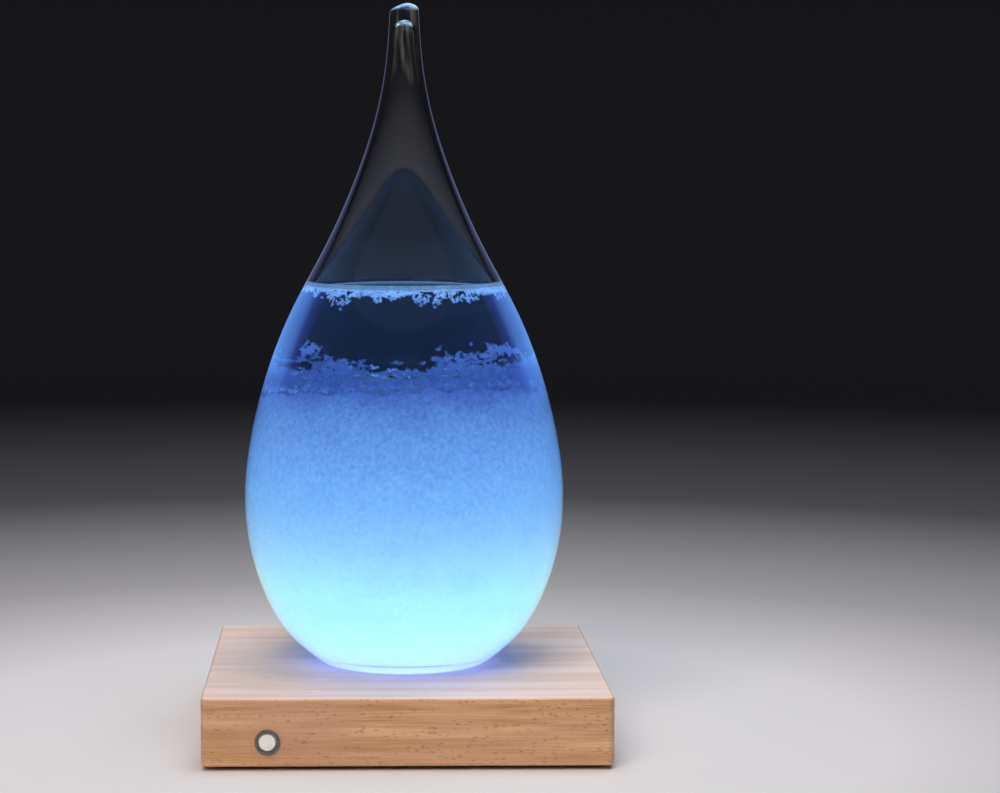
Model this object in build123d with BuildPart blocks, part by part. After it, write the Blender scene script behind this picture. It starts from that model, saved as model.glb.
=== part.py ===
from build123d import *
import math
import os

# A storm glass on a lit beech base, as separate pieces. Millimetres, +Z up, the button faces -Y.
# The origin is under the middle of the base, on the table.

# ---- heights, from the table up ----
FOOT_HEIGHT = 1.0
BLOCK_BOTTOM = FOOT_HEIGHT
BLOCK_HEIGHT = 20.0
BLOCK_TOP = BLOCK_BOTTOM + BLOCK_HEIGHT
TOP_WALL = 4.5
CEILING = BLOCK_TOP - TOP_WALL

# ---- beech block ----
BLOCK_SIZE = 120.0
BLOCK_CORNER_R = 2.0
BLOCK_RIM_R = 0.8
POCKET_SIZE = 108.0
POCKET_CORNER_R = 2.0
FRONT_FACE = -BLOCK_SIZE / 2
FRONT_INNER = -POCKET_SIZE / 2
BOSS_SIZE = 9.0
BOSS_PLACE = POCKET_SIZE - BOSS_SIZE
REBATE_SIZE = 111.0
REBATE_CORNER_R = 3.0
PILOT_R = 1.1
CEILING_PILOT_DEPTH = 3.4

# ---- light window and what hangs under it ----
WINDOW_R = 15.0
WINDOW_THICKNESS = 2.0
WINDOW_GAP = 0.1
LIGHT_HOLE_R = 13.0
CUP_FLANGE_R = 19.0
CUP_FLANGE_THICKNESS = 1.5
CUP_SCREW_CIRCLE_R = 16.8
CUP_SCREW_COUNT = 3
CUP_SCREW_START = 30.0
CUP_MOUTH_R = 13.0
CUP_THROAT_R = 9.0
CUP_RING_R = 14.8
CUP_BOTTOM = 10.0
CUP_THROAT_TOP = 11.8
CUP_WAIST_R = 14.8
LED_BOARD_R = 15.0
LED_BOARD_THICKNESS = 1.6
LED_BOARD_BOTTOM = CUP_BOTTOM - LED_BOARD_THICKNESS
LED_SCREW_CIRCLE_R = 12.2
LED_SCREW_COUNT = 2
LED_PILOT_R = 0.8
LED_PILOT_DEPTH = 2.4
LED_CHIP_SIZE = 5.0
LED_CHIP_HEIGHT = 1.6
LED_CHIP_PITCH = 7.0

# ---- bottom cover, its screws and feet ----
COVER_SIZE = 110.4
COVER_THICKNESS = 3.0
COVER_CORNER_R = 2.7
COVER_TOP = BLOCK_BOTTOM + COVER_THICKNESS
COVER_SCREW_R = 1.15
COVER_SCREW_HEAD_R = 2.8
COVER_SCREW_SLACK = 0.35
COVER_SCREW_TOP_R = COVER_SCREW_HEAD_R - COVER_SCREW_SLACK
COVER_SCREW_HEAD_HEIGHT = COVER_SCREW_TOP_R - COVER_SCREW_R
COVER_SCREW_SHANK_LENGTH = 8.8
COVER_PILOT_DEPTH = 8.0
COUNTERSINK_ANGLE = 90
FOOT_R = 5.0
FOOT_EDGE_R = 0.3
FOOT_SPAN_X = 72.0
FOOT_SPAN_Y = 96.0

# ---- small pan screws ----
PAN_HEAD_R = 1.8
PAN_HEAD_HEIGHT = 1.3
PAN_SHANK_R = 1.15
PAN_CLEARANCE_R = 1.3
PAN_SHANK_LENGTH = 4.6
BOARD_SCREW_SHANK_LENGTH = 7.6
DRIVE_SLOT_LENGTH = 2.4
DRIVE_SLOT_WIDTH = 0.6
DRIVE_SLOT_DEPTH = 0.5
LED_SCREW_SHANK_R = 0.85
LED_SCREW_CLEARANCE_R = 1.0
LED_SCREW_SHANK_LENGTH = 3.8

# ---- push button ----
BUTTON_X = -40.7
BUTTON_Z = BLOCK_BOTTOM + 7.3
BEZEL_RING_R = 3.65
BEZEL_PROUD = 1.0
BEZEL_BARREL_R = 3.2
BEZEL_BORE_R = 2.63
BEZEL_CHAMFER = 0.45
BEZEL_REAR = FRONT_INNER + 1.0
CAP_R = 2.55
CAP_FRONT = FRONT_FACE - 0.6
CAP_EDGE_R = 0.4
CAP_FLANGE_R = 3.4
CAP_FLANGE_THICKNESS = 1.0
STOP_GAP = 0.05
CAP_FLANGE_FRONT = BEZEL_REAR + STOP_GAP
CAP_REAR = CAP_FLANGE_FRONT + CAP_FLANGE_THICKNESS

# ---- push switch ----
SWITCH_WIDTH = 8.0
SWITCH_HEIGHT = 7.2
SWITCH_FRONT = -50.0
SWITCH_REAR = -41.6
SWITCH_WALL = 1.0
SWITCH_CAVITY_R = 2.6
PLUNGER_R = 1.5
PLUNGER_BORE_R = 1.58
PLUNGER_FLANGE_R = 2.2
PLUNGER_FLANGE_THICKNESS = 0.8
PLUNGER_FLANGE_FRONT = SWITCH_FRONT + SWITCH_WALL + 0.1
PLUNGER_FLANGE_REAR = PLUNGER_FLANGE_FRONT + PLUNGER_FLANGE_THICKNESS
SPRING_MEAN_R = 1.6
SPRING_WIRE_R = 0.18
SPRING_TURNS = 5
SPRING_END_GAP = 0.03
SPRING_END = SWITCH_REAR - SWITCH_WALL - SPRING_WIRE_R
SPRING_LENGTH = SPRING_END - PLUNGER_FLANGE_REAR - SPRING_WIRE_R - SPRING_END_GAP
SWITCH_PIN_R = 0.4
SWITCH_PIN_SPAN_X = 5.0
SWITCH_PIN_SPAN_Y = 4.0
SWITCH_PIN_LENGTH = 2.4

# ---- control board ----
BOARD_THICKNESS = 1.6
BOARD_BOTTOM = BUTTON_Z + SWITCH_HEIGHT / 2
BOARD_TOP = BOARD_BOTTOM + BOARD_THICKNESS
BOARD_SIZE = 22.0
BOARD_CENTRE_X = -33.9
BOARD_CENTRE_Y = -39.0
BOARD_SCREW_SPOTS = [(-25.6, -47.4), (-42.3, -30.6)]
SPACER_R = 2.5
CHIP_LENGTH = 5.0
CHIP_WIDTH = 4.0
CHIP_HEIGHT = 1.6
CHIP_SPOT = (-31.0, -37.0)
PASSIVE_LENGTH = 2.0
PASSIVE_WIDTH = 1.25
PASSIVE_HEIGHT = 0.8
PASSIVE_SPOTS = [(-35.6, -31.5), (-35.6, -34.5), (-31.0, -42.0), (-26.5, -41.0)]

# ---- battery compartment ----
CELL_R = 5.25
CELL_LENGTH = 43.3
CELL_EDGE_R = 0.6
NUB_R = 1.9
NUB_LENGTH = 1.2
CELL_PITCH = 10.8
CELL_AXIS_Z = 9.85
HOLDER_LENGTH = 54.0
HOLDER_FRONT = 19.3
HOLDER_REAR = 53.8
HOLDER_BOTTOM = COVER_TOP + 0.1
HOLDER_END_WALL = 1.2
HOLDER_SIDE_WALL = 1.0
HOLDER_ROOF = 1.2
HOLDER_WIDTH = HOLDER_REAR - HOLDER_FRONT
HOLDER_CENTRE_Y = (HOLDER_FRONT + HOLDER_REAR) / 2
CELL_SPOTS = [HOLDER_CENTRE_Y - CELL_PITCH, HOLDER_CENTRE_Y, HOLDER_CENTRE_Y + CELL_PITCH]
CELL_WAYS = [-1, 1, -1]
HOLDER_INNER_END = HOLDER_LENGTH / 2 - HOLDER_END_WALL
RIB_WIDTH = 1.2
RIB_BOTTOM = CELL_AXIS_Z + 2.7
LUG_LENGTH = 6.0
LUG_WIDTH = 8.0
LUG_SCREW_X = HOLDER_LENGTH / 2 + LUG_LENGTH / 2
PLATE_THICKNESS = 0.4
PLATE_WIDTH = 8.4
PLATE_HEIGHT = 8.0
PLATE_FACE = HOLDER_INNER_END - PLATE_THICKNESS
COIL_MEAN_R = 2.8
COIL_WIRE_R = 0.3
COIL_TURNS = 3
COIL_LENGTH = 2 * (PLATE_FACE - COIL_WIRE_R) - CELL_LENGTH - NUB_LENGTH
WIRE_HOLE_R = 0.75

# ---- battery door ----
DOOR_OPENING_X = 51.0
DOOR_OPENING_FRONT = 20.9
DOOR_OPENING_REAR = 52.5
DOOR_RECESS_X = 55.6
DOOR_RECESS_FRONT = 18.5
DOOR_RECESS_REAR = 53.2
DOOR_RECESS_DEPTH = 1.95
DOOR_GAP = 0.3
DOOR_THICKNESS = 1.8
DOOR_EDGE_R = DOOR_THICKNESS / 2
DOOR_AXIS_Y = DOOR_RECESS_FRONT + DOOR_GAP + DOOR_EDGE_R
DOOR_AXIS_Z = BLOCK_BOTTOM + DOOR_EDGE_R
DOOR_PIN_R = 0.6
DOOR_PIN_BORE_R = 0.66
DOOR_PIN_LENGTH = 2.0
DOOR_PIN_SOCKET = 2.4
DOOR_TAB_WIDTH = 10.0
DOOR_TAB_THICKNESS = 1.2
DOOR_TAB_FRONT = 50.4
DOOR_TAB_HEIGHT = 2.4
NAIL_SLOT_LENGTH = 12.0
NAIL_SLOT_WIDTH = 3.0
NAIL_SLOT_DEPTH = 0.7
NAIL_SLOT_Y = 48.5

# ---- internal wires ----
WIRE_R = 0.6
WIRE_LOW = COVER_TOP + WIRE_R + 0.1
WIRE_HIGH = WIRE_LOW + 1.6
BEND_SHARE = 0.45

# ---- blown glass, heights from the top of the block ----
FOOT_RING = (25.55, 0)
GLASS_PROFILE = [(35.1, 8), (43.7, 22), (49.35, 48), (45.3, 80), (34.4, 110), (24.8, 128), (14.9, 150), (8.4, 170)]
NECK = (5.3, 188)
TIP = (4.45, 201)
GLASS_HEIGHT = 203.3
END_FULLNESS = 0.7
GLASS_WALL = 1.8
CAVITY_FLOOR = 4.0
CAVITY_FLOOR_R = 26.5
CAVITY_SAMPLES = 11
CAVITY_FIRST = 0.045
CAVITY_LAST = 0.965
CAVITY_TOP = 198.0
PUNT_R = 21.5
PUNT_DEPTH = 1.5
FOOT_RING_EDGE_R = 0.6
FILL_HOLE_R = 4.5
PLUG_HEAD_R = 7.0
PLUG_HEAD_THICKNESS = 1.0
PLUG_EDGE_R = 0.3

# ---- what is in the glass, heights from the top of the block ----
CONTENT_GAP = 0.05
LIQUID_LEVEL = 116.6
BED_HEIGHT = 84.0
BED_DOME = 3.0
BED_LUMPS = [(0, 0, 7.5), (18, 35, 6.5), (22, 110, 7.0), (17, 190, 6.0), (24, 265, 7.0), (30, 320, 5.5)]
CRUST_R = 28.4
CRUST_THICKNESS = 1.6
CRUST_GAP = 0.1
CRUST_TOP = BLOCK_TOP + LIQUID_LEVEL - CRUST_GAP
CRUST_POINT_RINGS = [(6.0, 5, 3.6), (15.0, 9, 4.6), (23.0, 13, 3.4)]
CRUST_POINT_R = 2.2
CRUST_POINT_TIP_R = 0.3


def turned(height):
    """A sketch plane at a height that looks down, so holes made from it run upwards."""
    return Plane(origin=(0, 0, height), z_dir=(0, 0, -1))


def facing_front(y):
    """A plane across the button's axis that faces the front."""
    return Plane(origin=(BUTTON_X, y, BUTTON_Z), x_dir=(1, 0, 0), z_dir=(0, -1, 0))


def bend_radii(points):
    """One radius for each corner of a wire's route, as large as its two runs allow."""
    radii = []
    for before, corner, after in zip(points, points[1:], points[2:]):
        run_in = Vector(*corner) - Vector(*before)
        run_out = Vector(*after) - Vector(*corner)
        half_turn = math.radians(run_in.get_angle(run_out) / 2)
        radii.append(BEND_SHARE * min(run_in.length, run_out.length) / math.tan(half_turn))
    return radii


def wall_points(curve, inset):
    """Points inside the outer curve of the glass, set in square to it."""
    step = (CAVITY_LAST - CAVITY_FIRST) / (CAVITY_SAMPLES - 1)
    points = []
    for index in range(CAVITY_SAMPLES):
        place = CAVITY_FIRST + index * step
        along = curve.tangent_at(place)
        on_curve = curve.position_at(place)
        points.append((on_curve.X - along.Y * inset, on_curve.Y + along.X * inset))
    return points


def round_end(radius, height, top):
    """A blunt dome from the wall of the neck to the axis."""
    rise = top - height
    Bezier((radius, height), (radius, height + END_FULLNESS * rise), (radius * END_FULLNESS, top), (0, top))


def cavity_side(points, floor):
    """The wall of the space in the glass, from its flat floor to its round end in the neck."""
    end_radius, end_height = points[-1]
    Spline((CAVITY_FLOOR_R, floor), *points)
    round_end(end_radius, end_height, CAVITY_TOP)


def contents_outline():
    """Half the outline of all that fits in the glass, a little inside its wall."""
    floor = CAVITY_FLOOR + CONTENT_GAP
    cavity_side(wall_points(side, GLASS_WALL + CONTENT_GAP), floor)
    Polyline((0, CAVITY_TOP), (0, floor), (CAVITY_FLOOR_R, floor))


CUP_SCREW_SPOTS = [
    (
        CUP_SCREW_CIRCLE_R * math.cos(math.radians(CUP_SCREW_START + turn * 360 / CUP_SCREW_COUNT)),
        CUP_SCREW_CIRCLE_R * math.sin(math.radians(CUP_SCREW_START + turn * 360 / CUP_SCREW_COUNT)),
    )
    for turn in range(CUP_SCREW_COUNT)
]
SEAT = Plane(origin=(0, 0, BLOCK_TOP), x_dir=(1, 0, 0), z_dir=(0, -1, 0))
LUG_SCREW_SPOTS = [(-LUG_SCREW_X, HOLDER_CENTRE_Y), (LUG_SCREW_X, HOLDER_CENTRE_Y)]

ON_BASE = (Align.CENTER, Align.CENTER, Align.MIN)
UNDER_TOP = (Align.CENTER, Align.CENTER, Align.MAX)
ON_LEFT = (Align.MIN, Align.CENTER, Align.CENTER)
RED_ROUTE = [
    (-HOLDER_INNER_END, CELL_SPOTS[0], CELL_AXIS_Z),
    (-31.5, CELL_SPOTS[0], CELL_AXIS_Z),
    (-33.5, 16.0, WIRE_LOW),
    (-33.0, -6.0, WIRE_LOW),
    (-27.5, -24.0, WIRE_LOW),
    (-26.0, -34.0, WIRE_LOW),
    (-26.0, -34.0, BOARD_BOTTOM),
]
BLACK_ROUTE = [
    (HOLDER_INNER_END, CELL_SPOTS[2], CELL_AXIS_Z),
    (31.5, CELL_SPOTS[2], CELL_AXIS_Z),
    (34.0, 36.0, WIRE_LOW),
    (34.0, 8.0, WIRE_LOW),
    (28.0, -22.0, WIRE_LOW),
    (6.0, -36.0, WIRE_LOW),
    (-25.0, -38.0, WIRE_LOW),
    (-25.0, -38.0, BOARD_BOTTOM),
]
LED_RED_ROUTE = [
    (-9.0, -4.0, LED_BOARD_BOTTOM),
    (-9.0, -4.0, WIRE_HIGH),
    (-20.0, -24.0, WIRE_HIGH),
    (-38.0, -32.5, WIRE_HIGH),
    (-38.0, -32.5, BOARD_BOTTOM),
]
LED_BLACK_ROUTE = [
    (-4.0, -9.0, LED_BOARD_BOTTOM),
    (-4.0, -9.0, WIRE_HIGH),
    (-13.0, -30.0, WIRE_HIGH),
    (-27.0, -44.0, WIRE_HIGH),
    (-27.0, -44.0, BOARD_BOTTOM),
]

# ======================================= the base =======================================

with BuildPart() as wood_block:
    with BuildSketch(Plane.XY.offset(BLOCK_BOTTOM)):
        RectangleRounded(BLOCK_SIZE, BLOCK_SIZE, BLOCK_CORNER_R)
    extrude(amount=BLOCK_HEIGHT)
    fillet(wood_block.faces().filter_by(Axis.Z).edges(), BLOCK_RIM_R)
    with BuildSketch(Plane.XY.offset(BLOCK_BOTTOM)) as pocket_outline:
        Rectangle(POCKET_SIZE, POCKET_SIZE)
        with GridLocations(BOSS_PLACE, BOSS_PLACE, 2, 2):
            Rectangle(BOSS_SIZE, BOSS_SIZE, mode=Mode.SUBTRACT)
        fillet(pocket_outline.vertices(), POCKET_CORNER_R)
    extrude(amount=CEILING - BLOCK_BOTTOM, mode=Mode.SUBTRACT)
    with BuildSketch(Plane.XY.offset(BLOCK_BOTTOM)):
        RectangleRounded(REBATE_SIZE, REBATE_SIZE, REBATE_CORNER_R)
    extrude(amount=COVER_THICKNESS, mode=Mode.SUBTRACT)
    with Locations((0, 0, BLOCK_TOP)):
        CounterBoreHole(LIGHT_HOLE_R, WINDOW_R + WINDOW_GAP, WINDOW_THICKNESS, depth=TOP_WALL)
    with Locations(facing_front(FRONT_FACE)):
        Hole(BEZEL_BARREL_R, depth=FRONT_INNER - FRONT_FACE)
    with Locations(turned(COVER_TOP)):
        with GridLocations(BOSS_PLACE, BOSS_PLACE, 2, 2):
            Hole(PILOT_R, depth=COVER_PILOT_DEPTH)
    for x, y in CUP_SCREW_SPOTS + LUG_SCREW_SPOTS + BOARD_SCREW_SPOTS:
        with Locations(Location((x, y, CEILING), (180, 0, 0))):
            Hole(PILOT_R, depth=CEILING_PILOT_DEPTH)

with BuildPart() as light_window:
    with BuildSketch(Plane.XY.offset(BLOCK_TOP - WINDOW_THICKNESS)):
        Circle(WINDOW_R)
    extrude(amount=WINDOW_THICKNESS)

with BuildPart() as reflector_cup:
    with BuildSketch(Plane.XZ):
        with BuildLine():
            Polyline(
                (CUP_MOUTH_R, CEILING),
                (CUP_THROAT_R, CUP_THROAT_TOP),
                (CUP_THROAT_R, CUP_BOTTOM),
                (CUP_RING_R, CUP_BOTTOM),
                (CUP_WAIST_R, CEILING - CUP_FLANGE_THICKNESS),
                (CUP_FLANGE_R, CEILING - CUP_FLANGE_THICKNESS),
                (CUP_FLANGE_R, CEILING),
                close=True,
            )
        make_face()
    revolve(axis=Axis.Z)
    with Locations((0, 0, CEILING)):
        with PolarLocations(CUP_SCREW_CIRCLE_R, CUP_SCREW_COUNT, start_angle=CUP_SCREW_START):
            Hole(PAN_CLEARANCE_R, depth=CUP_FLANGE_THICKNESS)
    with Locations(turned(CUP_BOTTOM)):
        with PolarLocations(LED_SCREW_CIRCLE_R, LED_SCREW_COUNT):
            Hole(LED_PILOT_R, depth=LED_PILOT_DEPTH)

with BuildPart() as ceiling_screws:
    for x, y in CUP_SCREW_SPOTS + LUG_SCREW_SPOTS:
        with Locations((x, y, CEILING - CUP_FLANGE_THICKNESS - PAN_HEAD_HEIGHT)):
            Cylinder(PAN_HEAD_R, PAN_HEAD_HEIGHT, align=ON_BASE)
            Box(DRIVE_SLOT_LENGTH, DRIVE_SLOT_WIDTH, DRIVE_SLOT_DEPTH, align=ON_BASE, mode=Mode.SUBTRACT)
        with Locations((x, y, CEILING - CUP_FLANGE_THICKNESS)):
            Cylinder(PAN_SHANK_R, PAN_SHANK_LENGTH, align=ON_BASE)

with BuildPart() as led_board:
    with BuildSketch(Plane.XY.offset(LED_BOARD_BOTTOM)):
        Circle(LED_BOARD_R)
        with PolarLocations(LED_SCREW_CIRCLE_R, LED_SCREW_COUNT):
            Circle(LED_SCREW_CLEARANCE_R, mode=Mode.SUBTRACT)
    extrude(amount=LED_BOARD_THICKNESS)

with BuildPart() as led_chips:
    with BuildSketch(Plane.XY.offset(CUP_BOTTOM)):
        with GridLocations(LED_CHIP_PITCH, LED_CHIP_PITCH, 2, 2):
            Rectangle(LED_CHIP_SIZE, LED_CHIP_SIZE)
    extrude(amount=LED_CHIP_HEIGHT)

with BuildPart() as led_board_screws:
    with Locations((0, 0, LED_BOARD_BOTTOM - PAN_HEAD_HEIGHT)):
        with PolarLocations(LED_SCREW_CIRCLE_R, LED_SCREW_COUNT):
            Cylinder(PAN_HEAD_R, PAN_HEAD_HEIGHT, align=ON_BASE)
            Box(DRIVE_SLOT_LENGTH, DRIVE_SLOT_WIDTH, DRIVE_SLOT_DEPTH, align=ON_BASE, mode=Mode.SUBTRACT)
    with Locations((0, 0, LED_BOARD_BOTTOM)):
        with PolarLocations(LED_SCREW_CIRCLE_R, LED_SCREW_COUNT):
            Cylinder(LED_SCREW_SHANK_R, LED_SCREW_SHANK_LENGTH, align=ON_BASE)

with BuildPart() as bottom_cover:
    with BuildSketch(Plane.XY.offset(BLOCK_BOTTOM)):
        RectangleRounded(COVER_SIZE, COVER_SIZE, COVER_CORNER_R)
    extrude(amount=COVER_THICKNESS)
    with BuildSketch(Plane.XY.offset(BLOCK_BOTTOM)):
        with Locations((0, (DOOR_RECESS_FRONT + DOOR_RECESS_REAR) / 2)):
            Rectangle(DOOR_RECESS_X, DOOR_RECESS_REAR - DOOR_RECESS_FRONT)
    extrude(amount=DOOR_RECESS_DEPTH, mode=Mode.SUBTRACT)
    with BuildSketch(Plane.XY.offset(BLOCK_BOTTOM)):
        with Locations((0, (DOOR_OPENING_FRONT + DOOR_OPENING_REAR) / 2)):
            Rectangle(DOOR_OPENING_X, DOOR_OPENING_REAR - DOOR_OPENING_FRONT)
    extrude(amount=COVER_THICKNESS, mode=Mode.SUBTRACT)
    with BuildSketch(Plane.YZ.offset(-DOOR_RECESS_X / 2 - DOOR_PIN_SOCKET)):
        with Locations((DOOR_AXIS_Y, DOOR_AXIS_Z)):
            Circle(DOOR_PIN_BORE_R)
    extrude(amount=DOOR_RECESS_X + 2 * DOOR_PIN_SOCKET, mode=Mode.SUBTRACT)
    with Locations(turned(BLOCK_BOTTOM)):
        with GridLocations(BOSS_PLACE, BOSS_PLACE, 2, 2):
            CounterSinkHole(PAN_CLEARANCE_R, COVER_SCREW_HEAD_R, COVER_THICKNESS, COUNTERSINK_ANGLE)

with BuildPart() as cover_screws:
    with Locations((0, 0, BLOCK_BOTTOM)):
        with GridLocations(BOSS_PLACE, BOSS_PLACE, 2, 2):
            Cone(COVER_SCREW_TOP_R, COVER_SCREW_R, COVER_SCREW_HEAD_HEIGHT, align=ON_BASE)
            Box(DRIVE_SLOT_LENGTH, DRIVE_SLOT_WIDTH, DRIVE_SLOT_DEPTH, align=ON_BASE, mode=Mode.SUBTRACT)
    with Locations((0, 0, BLOCK_BOTTOM + COVER_SCREW_HEAD_HEIGHT)):
        with GridLocations(BOSS_PLACE, BOSS_PLACE, 2, 2):
            Cylinder(COVER_SCREW_R, COVER_SCREW_SHANK_LENGTH, align=ON_BASE)

with BuildPart() as rubber_feet:
    with GridLocations(FOOT_SPAN_X, FOOT_SPAN_Y, 2, 2):
        Cylinder(FOOT_R, FOOT_HEIGHT, align=ON_BASE)
    fillet(rubber_feet.edges().group_by(Axis.Z)[0], FOOT_EDGE_R)

# ======================================= the button =======================================

with BuildPart() as button_bezel:
    with BuildSketch(facing_front(BEZEL_REAR)):
        Circle(BEZEL_BARREL_R)
    extrude(amount=BEZEL_REAR - FRONT_FACE)
    with BuildSketch(facing_front(FRONT_FACE)):
        Circle(BEZEL_RING_R)
    extrude(amount=BEZEL_PROUD)
    with Locations(facing_front(FRONT_FACE - BEZEL_PROUD)):
        Hole(BEZEL_BORE_R)
    chamfer(button_bezel.faces().sort_by(Axis.Y)[0].edges(), BEZEL_CHAMFER)

with BuildPart() as button_cap:
    with BuildSketch(facing_front(CAP_REAR)):
        Circle(CAP_FLANGE_R)
    extrude(amount=CAP_FLANGE_THICKNESS)
    with BuildSketch(facing_front(CAP_FLANGE_FRONT)):
        Circle(CAP_R)
    extrude(amount=CAP_FLANGE_FRONT - CAP_FRONT)
    fillet(button_cap.faces().sort_by(Axis.Y)[0].edges(), CAP_EDGE_R)

with BuildPart() as switch_housing:
    with BuildSketch(facing_front(SWITCH_REAR)):
        Rectangle(SWITCH_WIDTH, SWITCH_HEIGHT)
    extrude(amount=SWITCH_REAR - SWITCH_FRONT)
    with Locations(facing_front(SWITCH_FRONT)):
        Hole(PLUNGER_BORE_R, depth=2 * SWITCH_WALL)
    with BuildSketch(facing_front(SWITCH_REAR - SWITCH_WALL)):
        Circle(SWITCH_CAVITY_R)
    extrude(amount=SWITCH_REAR - SWITCH_FRONT - 2 * SWITCH_WALL, mode=Mode.SUBTRACT)

with BuildPart() as switch_plunger:
    with BuildSketch(facing_front(PLUNGER_FLANGE_FRONT)):
        Circle(PLUNGER_R)
    extrude(amount=PLUNGER_FLANGE_FRONT - CAP_REAR)
    with BuildSketch(facing_front(PLUNGER_FLANGE_REAR)):
        Circle(PLUNGER_FLANGE_R)
    extrude(amount=PLUNGER_FLANGE_THICKNESS)

with BuildPart() as return_spring:
    with BuildLine() as spring_coil:
        Helix(
            SPRING_LENGTH / SPRING_TURNS,
            SPRING_LENGTH,
            SPRING_MEAN_R,
            center=(BUTTON_X, SPRING_END, BUTTON_Z),
            direction=(0, -1, 0),
        )
    with BuildSketch(Plane(spring_coil.line @ 0, z_dir=spring_coil.line % 0)):
        Circle(SPRING_WIRE_R)
    sweep(path=spring_coil.line, is_frenet=True)

with BuildPart() as switch_pins:
    with Locations((BUTTON_X, (SWITCH_FRONT + SWITCH_REAR) / 2, BOARD_BOTTOM)):
        with GridLocations(SWITCH_PIN_SPAN_X, SWITCH_PIN_SPAN_Y, 2, 2):
            Cylinder(SWITCH_PIN_R, SWITCH_PIN_LENGTH, align=ON_BASE)

# ======================================= the control board =======================================

with BuildPart() as control_board:
    with Locations((BOARD_CENTRE_X, BOARD_CENTRE_Y, BOARD_BOTTOM)):
        Box(BOARD_SIZE, BOARD_SIZE, BOARD_THICKNESS, align=ON_BASE)
    with Locations((BUTTON_X, (SWITCH_FRONT + SWITCH_REAR) / 2, BOARD_TOP)):
        with GridLocations(SWITCH_PIN_SPAN_X, SWITCH_PIN_SPAN_Y, 2, 2):
            Hole(SWITCH_PIN_R, depth=BOARD_THICKNESS)
    for x, y in BOARD_SCREW_SPOTS:
        with Locations((x, y, BOARD_TOP)):
            Hole(PAN_CLEARANCE_R, depth=BOARD_THICKNESS)

with BuildPart() as control_chip:
    with Locations((CHIP_SPOT[0], CHIP_SPOT[1], BOARD_BOTTOM)):
        Box(CHIP_LENGTH, CHIP_WIDTH, CHIP_HEIGHT, align=UNDER_TOP)

with BuildPart() as board_passives:
    for x, y in PASSIVE_SPOTS:
        with Locations((x, y, BOARD_BOTTOM)):
            Box(PASSIVE_LENGTH, PASSIVE_WIDTH, PASSIVE_HEIGHT, align=UNDER_TOP)

with BuildPart() as board_spacers:
    for x, y in BOARD_SCREW_SPOTS:
        with BuildSketch(Plane.XY.offset(BOARD_TOP)):
            with Locations((x, y)):
                Circle(SPACER_R)
                Circle(PAN_CLEARANCE_R, mode=Mode.SUBTRACT)
        extrude(amount=CEILING - BOARD_TOP)

with BuildPart() as control_board_screws:
    for x, y in BOARD_SCREW_SPOTS:
        with Locations((x, y, BOARD_BOTTOM - PAN_HEAD_HEIGHT)):
            Cylinder(PAN_HEAD_R, PAN_HEAD_HEIGHT, align=ON_BASE)
            Box(DRIVE_SLOT_LENGTH, DRIVE_SLOT_WIDTH, DRIVE_SLOT_DEPTH, align=ON_BASE, mode=Mode.SUBTRACT)
        with Locations((x, y, BOARD_BOTTOM)):
            Cylinder(PAN_SHANK_R, BOARD_SCREW_SHANK_LENGTH, align=ON_BASE)

# ======================================= the battery compartment =======================================

with BuildPart() as battery_holder:
    with Locations((0, HOLDER_CENTRE_Y, HOLDER_BOTTOM)):
        Box(HOLDER_LENGTH, HOLDER_WIDTH, CEILING - HOLDER_BOTTOM, align=ON_BASE)
        Box(
            2 * HOLDER_INNER_END,
            HOLDER_WIDTH - 2 * HOLDER_SIDE_WALL,
            CEILING - HOLDER_BOTTOM - HOLDER_ROOF,
            align=ON_BASE,
            mode=Mode.SUBTRACT,
        )
    with Locations((0, HOLDER_CENTRE_Y, RIB_BOTTOM)):
        with GridLocations(0, CELL_PITCH, 1, 2):
            Box(2 * PLATE_FACE, RIB_WIDTH, CEILING - RIB_BOTTOM, align=ON_BASE)
    for x, y in LUG_SCREW_SPOTS:
        with Locations((x, y, CEILING)):
            Box(LUG_LENGTH, LUG_WIDTH, CUP_FLANGE_THICKNESS, align=UNDER_TOP)
            Hole(PAN_CLEARANCE_R, depth=CUP_FLANGE_THICKNESS)
    with BuildSketch(Plane.YZ.offset(-HOLDER_LENGTH / 2)):
        with Locations((CELL_SPOTS[0], CELL_AXIS_Z)):
            Circle(WIRE_HOLE_R)
    extrude(amount=HOLDER_END_WALL, mode=Mode.SUBTRACT)
    with BuildSketch(Plane.YZ.offset(HOLDER_INNER_END)):
        with Locations((CELL_SPOTS[2], CELL_AXIS_Z)):
            Circle(WIRE_HOLE_R)
    extrude(amount=HOLDER_END_WALL, mode=Mode.SUBTRACT)

with BuildPart() as battery_cells:
    for y, way in zip(CELL_SPOTS, CELL_WAYS):
        nub_tip = Plane(origin=(way * PLATE_FACE, y, CELL_AXIS_Z), z_dir=(-way, 0, 0))
        with BuildSketch(nub_tip.offset(NUB_LENGTH)):
            Circle(CELL_R)
        extrude(amount=CELL_LENGTH)
        with BuildSketch(nub_tip):
            Circle(NUB_R)
        extrude(amount=NUB_LENGTH)
    cell_rims = battery_cells.edges().filter_by(GeomType.CIRCLE).filter_by(lambda rim: rim.radius == CELL_R)
    fillet(cell_rims, CELL_EDGE_R)

with BuildPart() as contact_plates:
    with Locations((-HOLDER_INNER_END, CELL_SPOTS[0], CELL_AXIS_Z), (PLATE_FACE, CELL_SPOTS[2], CELL_AXIS_Z)):
        Box(PLATE_THICKNESS, PLATE_WIDTH, PLATE_HEIGHT, align=ON_LEFT)
    with Locations(
        (-HOLDER_INNER_END, HOLDER_CENTRE_Y + CELL_PITCH / 2, CELL_AXIS_Z),
        (PLATE_FACE, HOLDER_CENTRE_Y - CELL_PITCH / 2, CELL_AXIS_Z),
    ):
        Box(PLATE_THICKNESS, PLATE_WIDTH + CELL_PITCH, PLATE_HEIGHT, align=ON_LEFT)

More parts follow.
